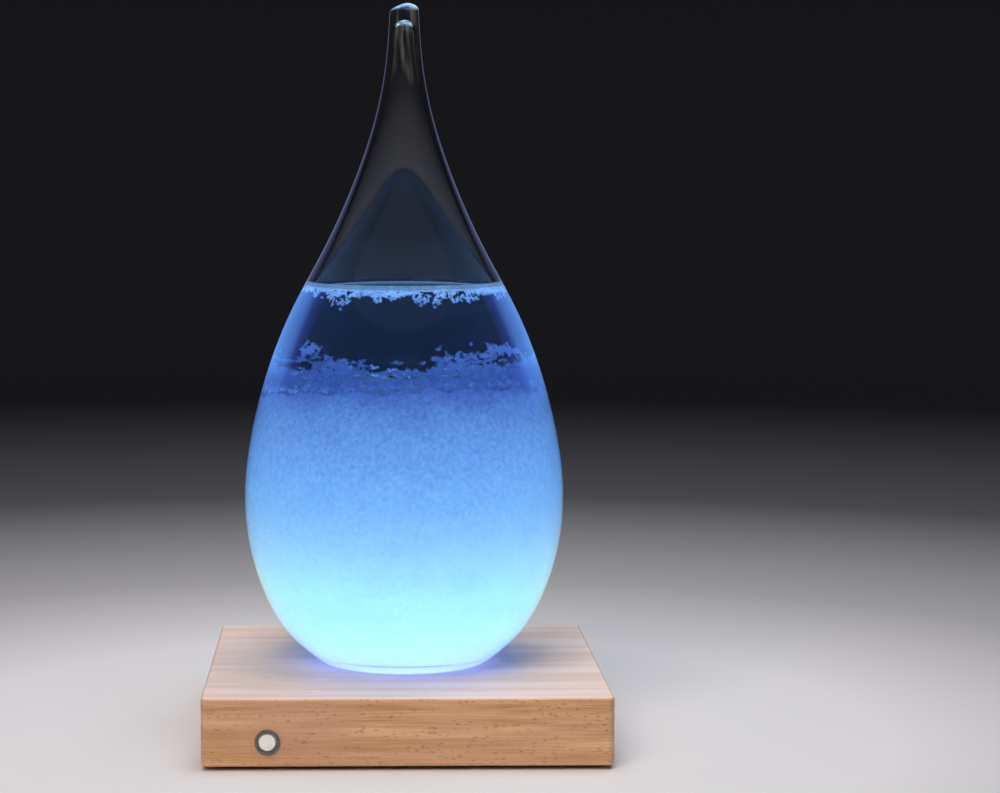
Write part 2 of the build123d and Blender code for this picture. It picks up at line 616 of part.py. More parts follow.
with BuildPart() as contact_springs:
    for y, way in zip(CELL_SPOTS, CELL_WAYS):
        plate_side = (-way * (PLATE_FACE - COIL_WIRE_R), y, CELL_AXIS_Z)
        with BuildLine() as coil:
            Helix(COIL_LENGTH / COIL_TURNS, COIL_LENGTH, COIL_MEAN_R, center=plate_side, direction=(way, 0, 0))
        with BuildSketch(Plane(coil.line @ 0, z_dir=coil.line % 0)):
            Circle(COIL_WIRE_R)
        sweep(path=coil.line, is_frenet=True)

with BuildPart() as battery_door:
    with BuildSketch(Plane.YZ.offset(-DOOR_RECESS_X / 2 + DOOR_GAP)):
        with BuildLine():
            Polyline(
                (DOOR_AXIS_Y, BLOCK_BOTTOM + DOOR_THICKNESS),
                (DOOR_RECESS_REAR - DOOR_GAP, BLOCK_BOTTOM + DOOR_THICKNESS),
                (DOOR_RECESS_REAR - DOOR_GAP, BLOCK_BOTTOM),
                (DOOR_AXIS_Y, BLOCK_BOTTOM),
            )
            ThreePointArc(
                (DOOR_AXIS_Y, BLOCK_BOTTOM),
                (DOOR_AXIS_Y - DOOR_EDGE_R, DOOR_AXIS_Z),
                (DOOR_AXIS_Y, BLOCK_BOTTOM + DOOR_THICKNESS),
            )
        make_face()
    extrude(amount=DOOR_RECESS_X - 2 * DOOR_GAP)
    with BuildSketch(Plane.YZ.offset(-DOOR_RECESS_X / 2 - DOOR_PIN_LENGTH)):
        with Locations((DOOR_AXIS_Y, DOOR_AXIS_Z)):
            Circle(DOOR_PIN_R)
    extrude(amount=DOOR_RECESS_X + 2 * DOOR_PIN_LENGTH)
    with Locations((0, DOOR_TAB_FRONT, BLOCK_BOTTOM + DOOR_THICKNESS)):
        Box(DOOR_TAB_WIDTH, DOOR_TAB_THICKNESS, DOOR_TAB_HEIGHT, align=(Align.CENTER, Align.MIN, Align.MIN))
    with Locations((0, NAIL_SLOT_Y, BLOCK_BOTTOM)):
        Box(NAIL_SLOT_LENGTH, NAIL_SLOT_WIDTH, NAIL_SLOT_DEPTH, align=ON_BASE, mode=Mode.SUBTRACT)

# ======================================= the internal wires =======================================

with BuildPart() as wire_battery_red:
    with BuildLine() as red_path:
        FilletPolyline(*RED_ROUTE, radius=bend_radii(RED_ROUTE))
    with BuildSketch(Plane(red_path.line @ 0, z_dir=red_path.line % 0)):
        Circle(WIRE_R)
    sweep(path=red_path.line)

with BuildPart() as wire_battery_black:
    with BuildLine() as black_path:
        FilletPolyline(*BLACK_ROUTE, radius=bend_radii(BLACK_ROUTE))
    with BuildSketch(Plane(black_path.line @ 0, z_dir=black_path.line % 0)):
        Circle(WIRE_R)
    sweep(path=black_path.line)

with BuildPart() as wire_led_red:
    with BuildLine() as led_red_path:
        FilletPolyline(*LED_RED_ROUTE, radius=bend_radii(LED_RED_ROUTE))
    with BuildSketch(Plane(led_red_path.line @ 0, z_dir=led_red_path.line % 0)):
        Circle(WIRE_R)
    sweep(path=led_red_path.line)

with BuildPart() as wire_led_black:
    with BuildLine() as led_black_path:
        FilletPolyline(*LED_BLACK_ROUTE, radius=bend_radii(LED_BLACK_ROUTE))
    with BuildSketch(Plane(led_black_path.line @ 0, z_dir=led_black_path.line % 0)):
        Circle(WIRE_R)
    sweep(path=led_black_path.line)

# ======================================= the glass =======================================

with BuildPart() as glass_drop:
    with BuildSketch(SEAT):
        with BuildLine():
            side = Spline(FOOT_RING, *GLASS_PROFILE, NECK, TIP)
            round_end(*TIP, GLASS_HEIGHT)
            cavity_side(wall_points(side, GLASS_WALL), CAVITY_FLOOR)
            Line((0, GLASS_HEIGHT), (0, CAVITY_TOP))
            Polyline(
                (CAVITY_FLOOR_R, CAVITY_FLOOR),
                (FILL_HOLE_R, CAVITY_FLOOR),
                (FILL_HOLE_R, PUNT_DEPTH),
                (PUNT_R, PUNT_DEPTH),
                (PUNT_R, 0),
                FOOT_RING,
            )
        make_face()
    revolve(axis=Axis.Z)
    fillet(glass_drop.edges().filter_by(GeomType.CIRCLE).group_by(Axis.Z)[0], FOOT_RING_EDGE_R)

with BuildPart() as fill_plug:
    with Locations((0, 0, BLOCK_TOP + PUNT_DEPTH - PLUG_HEAD_THICKNESS)):
        Cylinder(PLUG_HEAD_R, PLUG_HEAD_THICKNESS, align=ON_BASE)
    with Locations((0, 0, BLOCK_TOP + PUNT_DEPTH)):
        Cylinder(FILL_HOLE_R, CAVITY_FLOOR - PUNT_DEPTH - CONTENT_GAP, align=ON_BASE)
    fillet(fill_plug.edges().group_by(Axis.Z)[0], PLUG_EDGE_R)

# ======================================= what the glass holds =======================================

with BuildPart() as crystal_bed:
    with BuildSketch(SEAT):
        with BuildLine():
            contents_outline()
        make_face()
    revolve(axis=Axis.Z)
    split(bisect_by=Plane.XY.offset(BLOCK_TOP + BED_HEIGHT), keep=Keep.BOTTOM)
    for distance, angle, radius in BED_LUMPS:
        with Locations((0, 0, BLOCK_TOP + BED_HEIGHT)):
            with PolarLocations(distance, 1, start_angle=angle):
                Sphere(radius)

with BuildPart() as crystal_crust:
    with Locations((0, 0, CRUST_TOP)):
        Cylinder(CRUST_R, CRUST_THICKNESS, align=UNDER_TOP)
    for distance, count, length in CRUST_POINT_RINGS:
        with Locations((0, 0, CRUST_TOP - CRUST_THICKNESS)):
            with PolarLocations(distance, count):
                Cone(CRUST_POINT_TIP_R, CRUST_POINT_R, length, align=UNDER_TOP)

with BuildPart() as storm_liquid:
    with BuildSketch(SEAT):
        with BuildLine():
            contents_outline()
        make_face()
    revolve(axis=Axis.Z)
    split(bisect_by=Plane.XY.offset(BLOCK_TOP + LIQUID_LEVEL), keep=Keep.BOTTOM)
    split(bisect_by=Plane.XY.offset(BLOCK_TOP + BED_HEIGHT), keep=Keep.TOP)
    add(crystal_bed.part, mode=Mode.SUBTRACT)
    add(crystal_crust.part, mode=Mode.SUBTRACT)

# ======================================= the files =======================================

PIECES = {
    "wood_block": wood_block,
    "light_window": light_window,
    "reflector_cup": reflector_cup,
    "ceiling_screws": ceiling_screws,
    "led_board": led_board,
    "led_chips": led_chips,
    "led_board_screws": led_board_screws,
    "bottom_cover": bottom_cover,
    "cover_screws": cover_screws,
    "rubber_feet": rubber_feet,
    "button_bezel": button_bezel,
    "button_cap": button_cap,
    "switch_housing": switch_housing,
    "switch_plunger": switch_plunger,
    "return_spring": return_spring,
    "switch_pins": switch_pins,
    "control_board": control_board,
    "control_chip": control_chip,
    "board_passives": board_passives,
    "board_spacers": board_spacers,
    "control_board_screws": control_board_screws,
    "battery_holder": battery_holder,
    "battery_cells": battery_cells,
    "contact_plates": contact_plates,
    "contact_springs": contact_springs,
    "battery_door": battery_door,
    "wire_battery_red": wire_battery_red,
    "wire_battery_black": wire_battery_black,
    "wire_led_red": wire_led_red,
    "wire_led_black": wire_led_black,
    "glass_drop": glass_drop,
    "fill_plug": fill_plug,
    "crystal_bed": crystal_bed,
    "crystal_crust": crystal_crust,
    "storm_liquid": storm_liquid,
}
os.makedirs("parts", exist_ok=True)
for piece_name, piece in PIECES.items():
    piece.part.label = piece_name
    export_step(piece.part, f"parts/{piece_name}.step")
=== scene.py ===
import math
import random

import bpy
import numpy as np
from mathutils import Matrix, Vector


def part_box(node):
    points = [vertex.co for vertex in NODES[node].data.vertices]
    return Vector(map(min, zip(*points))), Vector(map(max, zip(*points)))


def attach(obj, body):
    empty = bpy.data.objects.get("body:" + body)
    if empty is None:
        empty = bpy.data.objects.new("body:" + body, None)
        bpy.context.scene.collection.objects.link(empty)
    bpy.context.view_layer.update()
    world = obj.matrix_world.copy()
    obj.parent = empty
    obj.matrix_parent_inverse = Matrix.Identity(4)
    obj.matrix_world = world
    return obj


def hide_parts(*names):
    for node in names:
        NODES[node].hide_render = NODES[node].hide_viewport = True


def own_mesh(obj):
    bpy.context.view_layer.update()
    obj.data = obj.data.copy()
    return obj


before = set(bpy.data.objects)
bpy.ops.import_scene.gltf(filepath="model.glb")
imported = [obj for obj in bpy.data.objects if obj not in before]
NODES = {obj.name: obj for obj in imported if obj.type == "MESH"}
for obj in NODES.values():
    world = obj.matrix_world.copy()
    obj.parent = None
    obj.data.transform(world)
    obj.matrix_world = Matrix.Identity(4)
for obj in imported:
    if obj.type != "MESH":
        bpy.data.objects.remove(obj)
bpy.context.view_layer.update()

bl_info = {
    "name": "Storm Glass",
    "version": (1, 0, 0),
    "blender": (4, 5, 0),
    "location": "View3D > Sidebar > Storm Glass",
    "description": "Builds a storm glass on a lit beech base around its packed frame",
    "category": "Object",
}

MM = 0.001

# ---- heights, read from the frame: the first two in metres, the tip in millimetres over the block ----
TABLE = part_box("rubber_feet")[0].z
BLOCK_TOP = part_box("wood_block")[1].z
TIP_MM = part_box("glass_drop")[1].z / MM - BLOCK_TOP / MM

# ---- half the outline of the blown glass, radius and height over the block, in millimetres ----
GLASS_SIDE = [
    (25.55, 0),
    (35.1, 8),
    (43.7, 22),
    (49.35, 48),
    (45.3, 80),
    (34.4, 110),
    (24.8, 128),
    (14.9, 150),
    (8.4, 170),
    (5.3, 188),
    (4.45, 201),
]

# ---- the space in the glass, in millimetres ----
CAVITY_FLOOR = 4.0
CAVITY_FLOOR_R = 26.5
FLOOR_EDGE_R, FLOOR_EDGE_RISE = 2.6, 0.9
CAVITY_TOP = 198.0
# Its side follows the outside between these shares of the outline.
CAVITY_FIRST, CAVITY_LAST = 0.045, 0.965

# ---- the foot, hollowed under its middle round the fill hole, in millimetres ----
PUNT_R = 21.5
PUNT_DEPTH = 1.5
FILL_HOLE_R = 4.5
FOOT_EDGE_R = 0.6
FOOT_EDGE_FLARE = 0.2

# ---- the tip: how full its dome is, and how it leans to one side ----
END_FULLNESS = 0.58
TIP_SHIFT = 0.9
TIP_SLANT = 0.07

# ---- how finely turned pieces are divided ----
CURVE_STEPS = 240
SIDE_RINGS = 84
CAVITY_RINGS = 66
END_RINGS = 9
GLASS_STEPS = 144


def linear(hex_colour):
    """An sRGB hex value as the linear colour that a shader socket takes."""
    channels = [int(hex_colour[i : i + 2], 16) / 255 for i in (1, 3, 5)]
    return [c / 12.92 if c <= 0.04045 else ((c + 0.055) / 1.055) ** 2.4 for c in channels] + [1.0]


class StormGlassSettings(bpy.types.PropertyGroup):
    wall: bpy.props.FloatProperty(
        name="Glass wall", description="Thickness of the blown glass", default=1.8 * MM, unit="LENGTH"
    )
    glow: bpy.props.FloatProperty(
        name="Glow", description="How strongly the lit crystals shine", default=1.0, min=0.0, max=10.0
    )
    liquid_tint: bpy.props.FloatVectorProperty(
        name="Liquid tint",
        description="Colour of a pale thing behind the whole vessel of solution",
        subtype="COLOR",
        default=linear("#2F486F")[:3],
    )
    feather_length: bpy.props.FloatProperty(
        name="Feather length", description="Length of one crystal feather", default=1.9 * MM, unit="LENGTH"
    )
    crust_clumps: bpy.props.IntProperty(
        name="Crust clumps",
        description="Clumps of crystals that hang from the surface",
        default=760,
        min=1,
    )
    bed_clumps: bpy.props.IntProperty(
        name="Bed clumps", description="Clumps of crystals that stand on the bed", default=560, min=1
    )
    rim_clumps: bpy.props.IntProperty(
        name="Rim clumps", description="Clumps of crystals round the rim of the bed", default=420, min=1
    )
    wood_light: bpy.props.FloatVectorProperty(
        name="Light wood",
        description="Beech between its grain lines",
        subtype="COLOR",
        default=linear("#E8BD93")[:3],
    )
    wood_dark: bpy.props.FloatVectorProperty(
        name="Dark wood",
        description="Beech along its grain lines",
        subtype="COLOR",
        default=linear("#C08C60")[:3],
    )


# ======================================= shapes =======================================


def start_clean():
    """Nothing is selected and object mode is on, so that an operator acts on its own piece alone."""
    if bpy.context.object and bpy.context.object.mode != "OBJECT":
        bpy.ops.object.mode_set(mode="OBJECT")
    bpy.ops.object.select_all(action="DESELECT")


def smooth_curve(points, count):
    """Points spread evenly along a smooth curve through a few given ones, a natural cubic spline."""
    pts = np.array(points, float)
    knots = np.concatenate([[0], np.cumsum(np.linalg.norm(np.diff(pts, axis=0), axis=1))])
    steps = np.diff(knots)
    size = len(pts)
    matrix = np.eye(size)
    right = np.zeros((size, 2))
    for i in range(1, size - 1):
        matrix[i, i - 1] = steps[i - 1]
        matrix[i, i] = 2 * (steps[i - 1] + steps[i])
        matrix[i, i + 1] = steps[i]
        right[i] = 6 * ((pts[i + 1] - pts[i]) / steps[i] - (pts[i] - pts[i - 1]) / steps[i - 1])
    bends = np.linalg.solve(matrix, right)
    out = []
    for place in np.linspace(0, knots[-1], count):
        i = min(int(np.searchsorted(knots, place, side="right")) - 1, size - 2)
        h = steps[i]
        a = (knots[i + 1] - place) / h
        b = (place - knots[i]) / h
        value = a * pts[i] + b * pts[i + 1]
        value = value + ((a**3 - a) * bends[i] + (b**3 - b) * bends[i + 1]) * h * h / 6
        out.append((float(value[0]), float(value[1])))
    return out


def set_in(points, amount):
    """The same curve moved square to itself towards the axis."""
    pts = np.array(points, float)
    along = np.gradient(pts, axis=0)
    along /= np.linalg.norm(along, axis=1)[:, None]
    inner = pts + amount * np.stack([-along[:, 1], along[:, 0]], 1)
    return [(float(r), float(h)) for r, h in inner]


def round_end(radius, height, top, count):
    """A blunt dome from the wall of the neck to the axis."""
    rise = top - height
    a, b = (radius, height), (radius, height + END_FULLNESS * rise)
    c, d = (radius * END_FULLNESS, top), (0.0, top)
    out = []
    for i in range(1, count + 1):
        t = i / count
        weights = ((1 - t) ** 3, 3 * t * (1 - t) ** 2, 3 * t * t * (1 - t), t**3)
        out.append(tuple(sum(w * p[k] for w, p in zip(weights, (a, b, c, d))) for k in (0, 1)))
    return out


def outer_side():
    """The outside of the glass from its foot to the tip's centre."""
    side = smooth_curve(GLASS_SIDE, SIDE_RINGS)
    foot = [(GLASS_SIDE[0][0] - FOOT_EDGE_R, 0.0), (GLASS_SIDE[0][0] + FOOT_EDGE_FLARE, FOOT_EDGE_R * 0.4)]
    return foot + side[1:] + round_end(*side[-1], TIP_MM, END_RINGS)


def cavity_side(inset, top=None, lift=0.0):
    """The wall of the space in the glass from its floor up, to a height or to its round end."""
    side = smooth_curve(GLASS_SIDE, CURVE_STEPS + 1)
    first, last = int(CURVE_STEPS * CAVITY_FIRST), int(CURVE_STEPS * CAVITY_LAST)
    wall = set_in(side, inset)[first : last + 1]
    picked = [wall[round(i * (len(wall) - 1) / (CAVITY_RINGS - 1))] for i in range(CAVITY_RINGS)]
    floor = CAVITY_FLOOR + lift
    corner = [(CAVITY_FLOOR_R, floor), (CAVITY_FLOOR_R + FLOOR_EDGE_R, CAVITY_FLOOR + FLOOR_EDGE_RISE + lift)]
    path = corner + picked
    if top is None:
        return path + round_end(*picked[-1], CAVITY_TOP, END_RINGS)
    below = [p for p in path if p[1] < top]
    above = path[len(below)]
    share = (top - below[-1][1]) / (above[1] - below[-1][1])
    return below + [(below[-1][0] + share * (above[0] - below[-1][0]), top)]


# The space that crystals may grow in: the glass wall's thickness and 0.1 mm more from the outside.
VESSEL_SIDE = cavity_side(1.9)[2:CAVITY_RINGS]


def turn(name, outline, steps):
    """Turns half an outline round the axis into a closed piece; outline is in millimetres over the block."""
    start_clean()
    places = [Vector((r * MM, 0, BLOCK_TOP + h * MM)) for r, h in outline]
    bpy.ops.mesh.primitive_plane_add(size=MM, location=places[0])
    piece = bpy.context.object
    piece.name = piece.data.name = name
    bpy.ops.object.transform_apply(location=True, rotation=True, scale=True)
    bpy.ops.object.mode_set(mode="EDIT")
    bpy.ops.mesh.select_all(action="SELECT")
    bpy.ops.mesh.merge(type="CENTER")
    for here, there in zip(places, places[1:]):
        bpy.ops.mesh.extrude_vertices_move(TRANSFORM_OT_translate={"value": there - here})
    bpy.ops.mesh.select_all(action="SELECT")
    bpy.ops.mesh.spin(steps=steps, angle=2 * math.pi, center=(0, 0, 0), axis=(0, 0, 1))
    bpy.ops.mesh.select_all(action="SELECT")
    bpy.ops.mesh.remove_doubles(threshold=0.01 * MM)
    bpy.ops.mesh.normals_make_consistent(inside=False)
    bpy.ops.object.mode_set(mode="OBJECT")
    bpy.ops.object.shade_smooth()
    return piece


# ---- feathers: shares of a feather's length, and degrees ----
FEATHER_STEM = 0.07
BARB_PAIRS = 3
FIRST_BARB = 0.14
BARB_STEP = 0.24
BARB_STAGGER = 0.07
BARB_LEAN = 52.0


def feather(name, length):
    """One crystal feather: a thin spine with barbs in one plane, its root at the origin, pointing up."""
    start_clean()
    parts = []
    spots = [(0.0, 0.0, 1.0)]
    for i in range(BARB_PAIRS):
        height = FIRST_BARB + BARB_STEP * i
        reach = 0.5 * (1 - height) + 0.12
        spots += [(height, BARB_LEAN, reach), (height + BARB_STAGGER, -BARB_LEAN, reach)]
    for height, lean, reach in spots:
        bpy.ops.mesh.primitive_cone_add(
            vertices=3, radius1=FEATHER_STEM * length, radius2=0, depth=reach * length, location=(0, 0, 0)
        )
        spike = bpy.context.object
        bpy.ops.object.mode_set(mode="EDIT")
        bpy.ops.mesh.select_all(action="SELECT")
        bpy.ops.transform.translate(value=(0, 0, reach * length / 2))
        bpy.ops.object.mode_set(mode="OBJECT")
        spike.data.transform(
            Matrix.Translation((0, 0, height * length)) @ Matrix.Rotation(math.radians(lean), 4, "Y")
        )
        parts.append(spike)
    start_clean()
    for spike in parts:
        spike.select_set(True)
    bpy.context.view_layer.objects.active = parts[0]
    bpy.ops.object.join()
    parts[0].name = parts[0].data.name = name
    return parts[0]


def in_vessel(point):
    """Whether a point is inside the glass and under the surface, with a little room to spare."""
    height = (point.z - BLOCK_TOP) / MM
    radius = math.hypot(point.x, point.y) / MM
    return radius < vessel_radius(height) - WALL_ROOM and height < LEVEL_MM - SURFACE_ROOM


def copy_of(pattern, matrix):
    """A copy of a piece with its own mesh, moved by a matrix."""
    copy = pattern.copy()
    copy.data = pattern.data.copy()
    copy.data.transform(matrix)
    bpy.context.scene.collection.objects.link(copy)
    return copy


def joined(name, copies):
    """All of these as one piece."""
    start_clean()
    for copy in copies:
        copy.select_set(True)
    bpy.context.view_layer.objects.active = copies[0]
    bpy.ops.object.join()
    copies[0].name = copies[0].data.name = name
    return copies[0]


def pointed(aim, spin):
    """A turn that points +Z along a direction after a spin about itself."""
    return aim.to_track_quat("Z", "Y").to_matrix().to_4x4() @ Matrix.Rotation(spin, 4, "Z")


# ---- bunches of feathers: how many kinds, how they spread and wander, and the room in mm round them ----
BUNCHES = 10
BUNCH_FEATHERS = 5
BUNCH_SPREAD = 0.75
AIM_WANDER = 0.3
WALL_ROOM = 0.7
SURFACE_ROOM = 0.3


def bunch(number, pattern, rng):
    """A few feathers that grow from about one place, mostly upwards."""
    copies = []
    for _ in range(BUNCH_FEATHERS):
        aim = Vector((rng.gauss(0, BUNCH_SPREAD), rng.gauss(0, BUNCH_SPREAD), 1 + rng.gauss(0, BUNCH_SPREAD)))
        turned = pointed(aim.normalized(), rng.uniform(0, math.tau))
        copies.append(copy_of(pattern, turned @ Matrix.Scale(rng.uniform(0.6, 1.15), 4)))
    return joined(f"bunch_{number}", copies)


def scatter(name, bunches, spots, rng):
    """Copies of the bunches as one piece: each spot gives a place, a way to point and a size."""
    copies = []
    for place, way, size in spots:
        pattern = rng.choice(bunches)
        aim = (way + Vector([rng.gauss(0, AIM_WANDER) for _ in range(3)])).normalized()
        if in_vessel(place + aim * size * pattern.dimensions.z) and in_vessel(place):
            turned = pointed(aim, rng.uniform(0, math.tau))
            copies.append(copy_of(pattern, Matrix.Translation(place) @ turned @ Matrix.Scale(size, 4)))
    return joined(name, copies)


# ======================================= materials =======================================


def new_material(name):
    """An empty node material and its principled shader, wired to the output."""
    material = bpy.data.materials.new(name)
    material.use_nodes = True
    shader = material.node_tree.nodes["Principled BSDF"]
    return material, shader


def add(material, kind, settings=None, links=None):
    """Adds one node: settings by input name or attribute, links as input name to (node, output name)."""
    node = material.node_tree.nodes.new(kind)
    for key, value in (settings or {}).items():
        if key in node.inputs:
            node.inputs[key].default_value = value
        else:
            setattr(node, key, value)
    for socket, source in (links or {}).items():
        link(material, source, node, socket)
    return node


def link(material, source, node, socket):
    """Joins (node, output name) to a named input of another node."""
    material.node_tree.links.new(source[0].outputs[source[1]], node.inputs[socket])


def spread(material, source, low, high, to_low=0.0, to_high=1.0):
    """A value between low and high, spread out over another range and held at its ends."""
    ends = {"From Min": low, "From Max": high, "To Min": to_low, "To Max": to_high}
    return (add(material, "ShaderNodeMapRange", ends, {"Value": source}), "Result")


def object_place(material):
    """The coordinates that every pattern here reads, in metres in the object's own frame."""
    return (add(material, "ShaderNodeTexCoord"), "Object")


def ramp(material, stops, source):
    """A colour ramp through sRGB stops, each a position and a hex value."""
    node = add(material, "ShaderNodeValToRGB", links={"Fac": source})
    while len(node.color_ramp.elements) < len(stops):
        node.color_ramp.elements.new(0.5)
    for element, (position, colour) in zip(node.color_ramp.elements, stops):
        element.position = position
        element.color = linear(colour)
    return (node, "Color")


def rise(material, height, low_mm, high_mm):
    """A value that goes from 0 to 1 between two heights over the block."""
    return spread(material, height, BLOCK_TOP + low_mm * MM, BLOCK_TOP + high_mm * MM)


def stretched_noise(material, place, size_mm, detail, tilt=0.0):
    """Noise whose blots have this size along X, Y and Z, turned about X by a tilt."""
    settings = {"vector_type": "TEXTURE", "Scale": [size * MM for size in size_mm], "Rotation": (tilt, 0, 0)}
    stretch = add(material, "ShaderNodeMapping", settings, {"Vector": place})
    settings = {"Scale": 1.0, "Detail": detail}
    noise = add(material, "ShaderNodeTexNoise", settings, {"Vector": (stretch, "Vector")})
    return (noise, "Fac")


def moulded(name, light, dark, grain_mm, roughness, bump_mm=0.0, **fixed):
    """A solid material whose colour, gloss and relief vary a little with a grain of a real size.

    roughness is its range, bump_mm the depth of the relief, and fixed holds shader inputs that don't vary.
    """
    material, shader = new_material(name)
    grain = add(
        material,
        "ShaderNodeTexNoise",
        {"Scale": 1 / (grain_mm * MM), "Detail": 3.0, "Roughness": 0.6},
        links={"Vector": object_place(material)},
    )
    link(material, ramp(material, [(0.3, dark), (0.7, light)], (grain, "Fac")), shader, "Base Color")
    gloss = spread(material, (grain, "Fac"), 0.0, 1.0, roughness[0], roughness[1])
    link(material, gloss, shader, "Roughness")
    if bump_mm:
        depth = {"Strength": 1.0, "Distance": bump_mm * MM}
        relief = add(material, "ShaderNodeBump", depth, links={"Height": (grain, "Fac")})
        link(material, (relief, "Normal"), shader, "Normal")
    for socket, value in fixed.items():
        shader.inputs[socket.replace("_", " ").title().replace("Ior", "IOR")].default_value = value
    return material


# ---- beech ----
RING_TILT = math.radians(32)
PINK_WOOD = "#CFA088"
FLECK_BROWN = "#945C40"
# The pale colour of the painted sheen on the board's upward face.
TOP_SHEEN_WOOD = "#F3E7E2"


def beech():
    """Beech, planed and sanded: pale, with long soft grain, short reddish pore flecks along X, and a painted
    sheen on its upward face.
    """
    look = bpy.context.scene.storm_glass
    material, shader = new_material("beech")
    place = object_place(material)
    # Growth rings are layers some 3 mm thick, which run along the board and slant across its end.
    bands = stretched_noise(material, place, (80, 30, 3.2), detail=3.0, tilt=RING_TILT)
    # Fibres are about 20 mm long and 0.5 mm wide.
    fibres = stretched_noise(material, place, (20, 0.5, 0.5), detail=2.0)
    grain = add(material, "ShaderNodeMixRGB", {"Fac": 0.45}, {"Color1": bands, "Color2": fibres})
    tone = add(material, "ShaderNodeValToRGB", links={"Fac": (grain, "Color")})
    tone.color_ramp.elements[0].position = 0.36
    tone.color_ramp.elements[0].color = [*look.wood_dark, 1]
    tone.color_ramp.elements[1].position = 0.64
    tone.color_ramp.elements[1].color = [*look.wood_light, 1]
    # A board is pinker in some places than in others, over some 40 mm.
    pinker = stretched_noise(material, place, (45, 14, 14), detail=1.0)
    blush = spread(material, pinker, 0.4, 0.62, 0.0, 0.45)
    warm = add(
        material,
        "ShaderNodeMixRGB",
        {"Color2": linear(PINK_WOOD)},
        {"Fac": blush, "Color1": (tone, "Color")},
    )
    # Pore flecks are about 1.5 mm long and 0.6 mm wide, and some places have more of them.
    fleck_map = add(material, "ShaderNodeMapping", {"Scale": (430, 1050, 1050)}, {"Vector": place})
    flecks = add(material, "ShaderNodeTexVoronoi", {"Scale": 1.0}, {"Vector": (fleck_map, "Vector")})
    core = spread(material, (flecks, "Distance"), 0.08, 0.36, 1.0, 0.0)
    patches = stretched_noise(material, place, (9, 2.2, 2.2), detail=2.0)
    some = spread(material, patches, 0.4, 0.6, 0.0, 0.7)
    both = {0: core, 1: some}
    mask = add(material, "ShaderNodeMath", {"operation": "MULTIPLY"}, both)
    flecked = add(
        material,
        "ShaderNodeMixRGB",
        {"Color2": linear(FLECK_BROWN)},
        {"Fac": (mask, "Value"), "Color1": (warm, "Color")},
    )
    # The board's upward face is painted paler than its sides, in some layers more than in others: a painted
    # sheen.
    shape = add(material, "ShaderNodeNewGeometry")
    facing = add(material, "ShaderNodeSeparateXYZ", links={"Vector": (shape, "Normal")})
    flat = spread(material, (facing, "Z"), 0.6, 1.0)
    cover = spread(material, bands, 0.4, 0.6, 0.5, 0.72)
    both = {0: flat, 1: cover}
    painted_sheen_mask = add(material, "ShaderNodeMath", {"operation": "MULTIPLY"}, both)
    pale = add(
        material,
        "ShaderNodeMixRGB",
        {"Color2": linear(TOP_SHEEN_WOOD)},
        {"Fac": (painted_sheen_mask, "Value"), "Color1": (flecked, "Color")},
    )
    link(material, (pale, "Color"), shader, "Base Color")
    gloss = spread(material, fibres, 0.0, 1.0, 0.42, 0.6)
    link(material, gloss, shader, "Roughness")
    relief = add(material, "ShaderNodeBump", {"Strength": 0.5, "Distance": 0.05 * MM}, {"Height": fibres})
    link(material, (relief, "Normal"), shader, "Normal")
    return material


# ---- glass: heights over the block in millimetres between which each part of its painted glow comes in ----
BARE_WALL_MM = (80, 96)
# Where the painted highlight lines come in up the neck.
HIGHLIGHT_STREAKS_MM = (178, 199)
# How high the painted glow at the foot reaches.
FOOT_SPILL_MM = 20
# These two are depths under the tip, between which the painted highlight on the tip comes in.
CROWN_DEEP, CROWN_SOLID = 2.4, 0.9


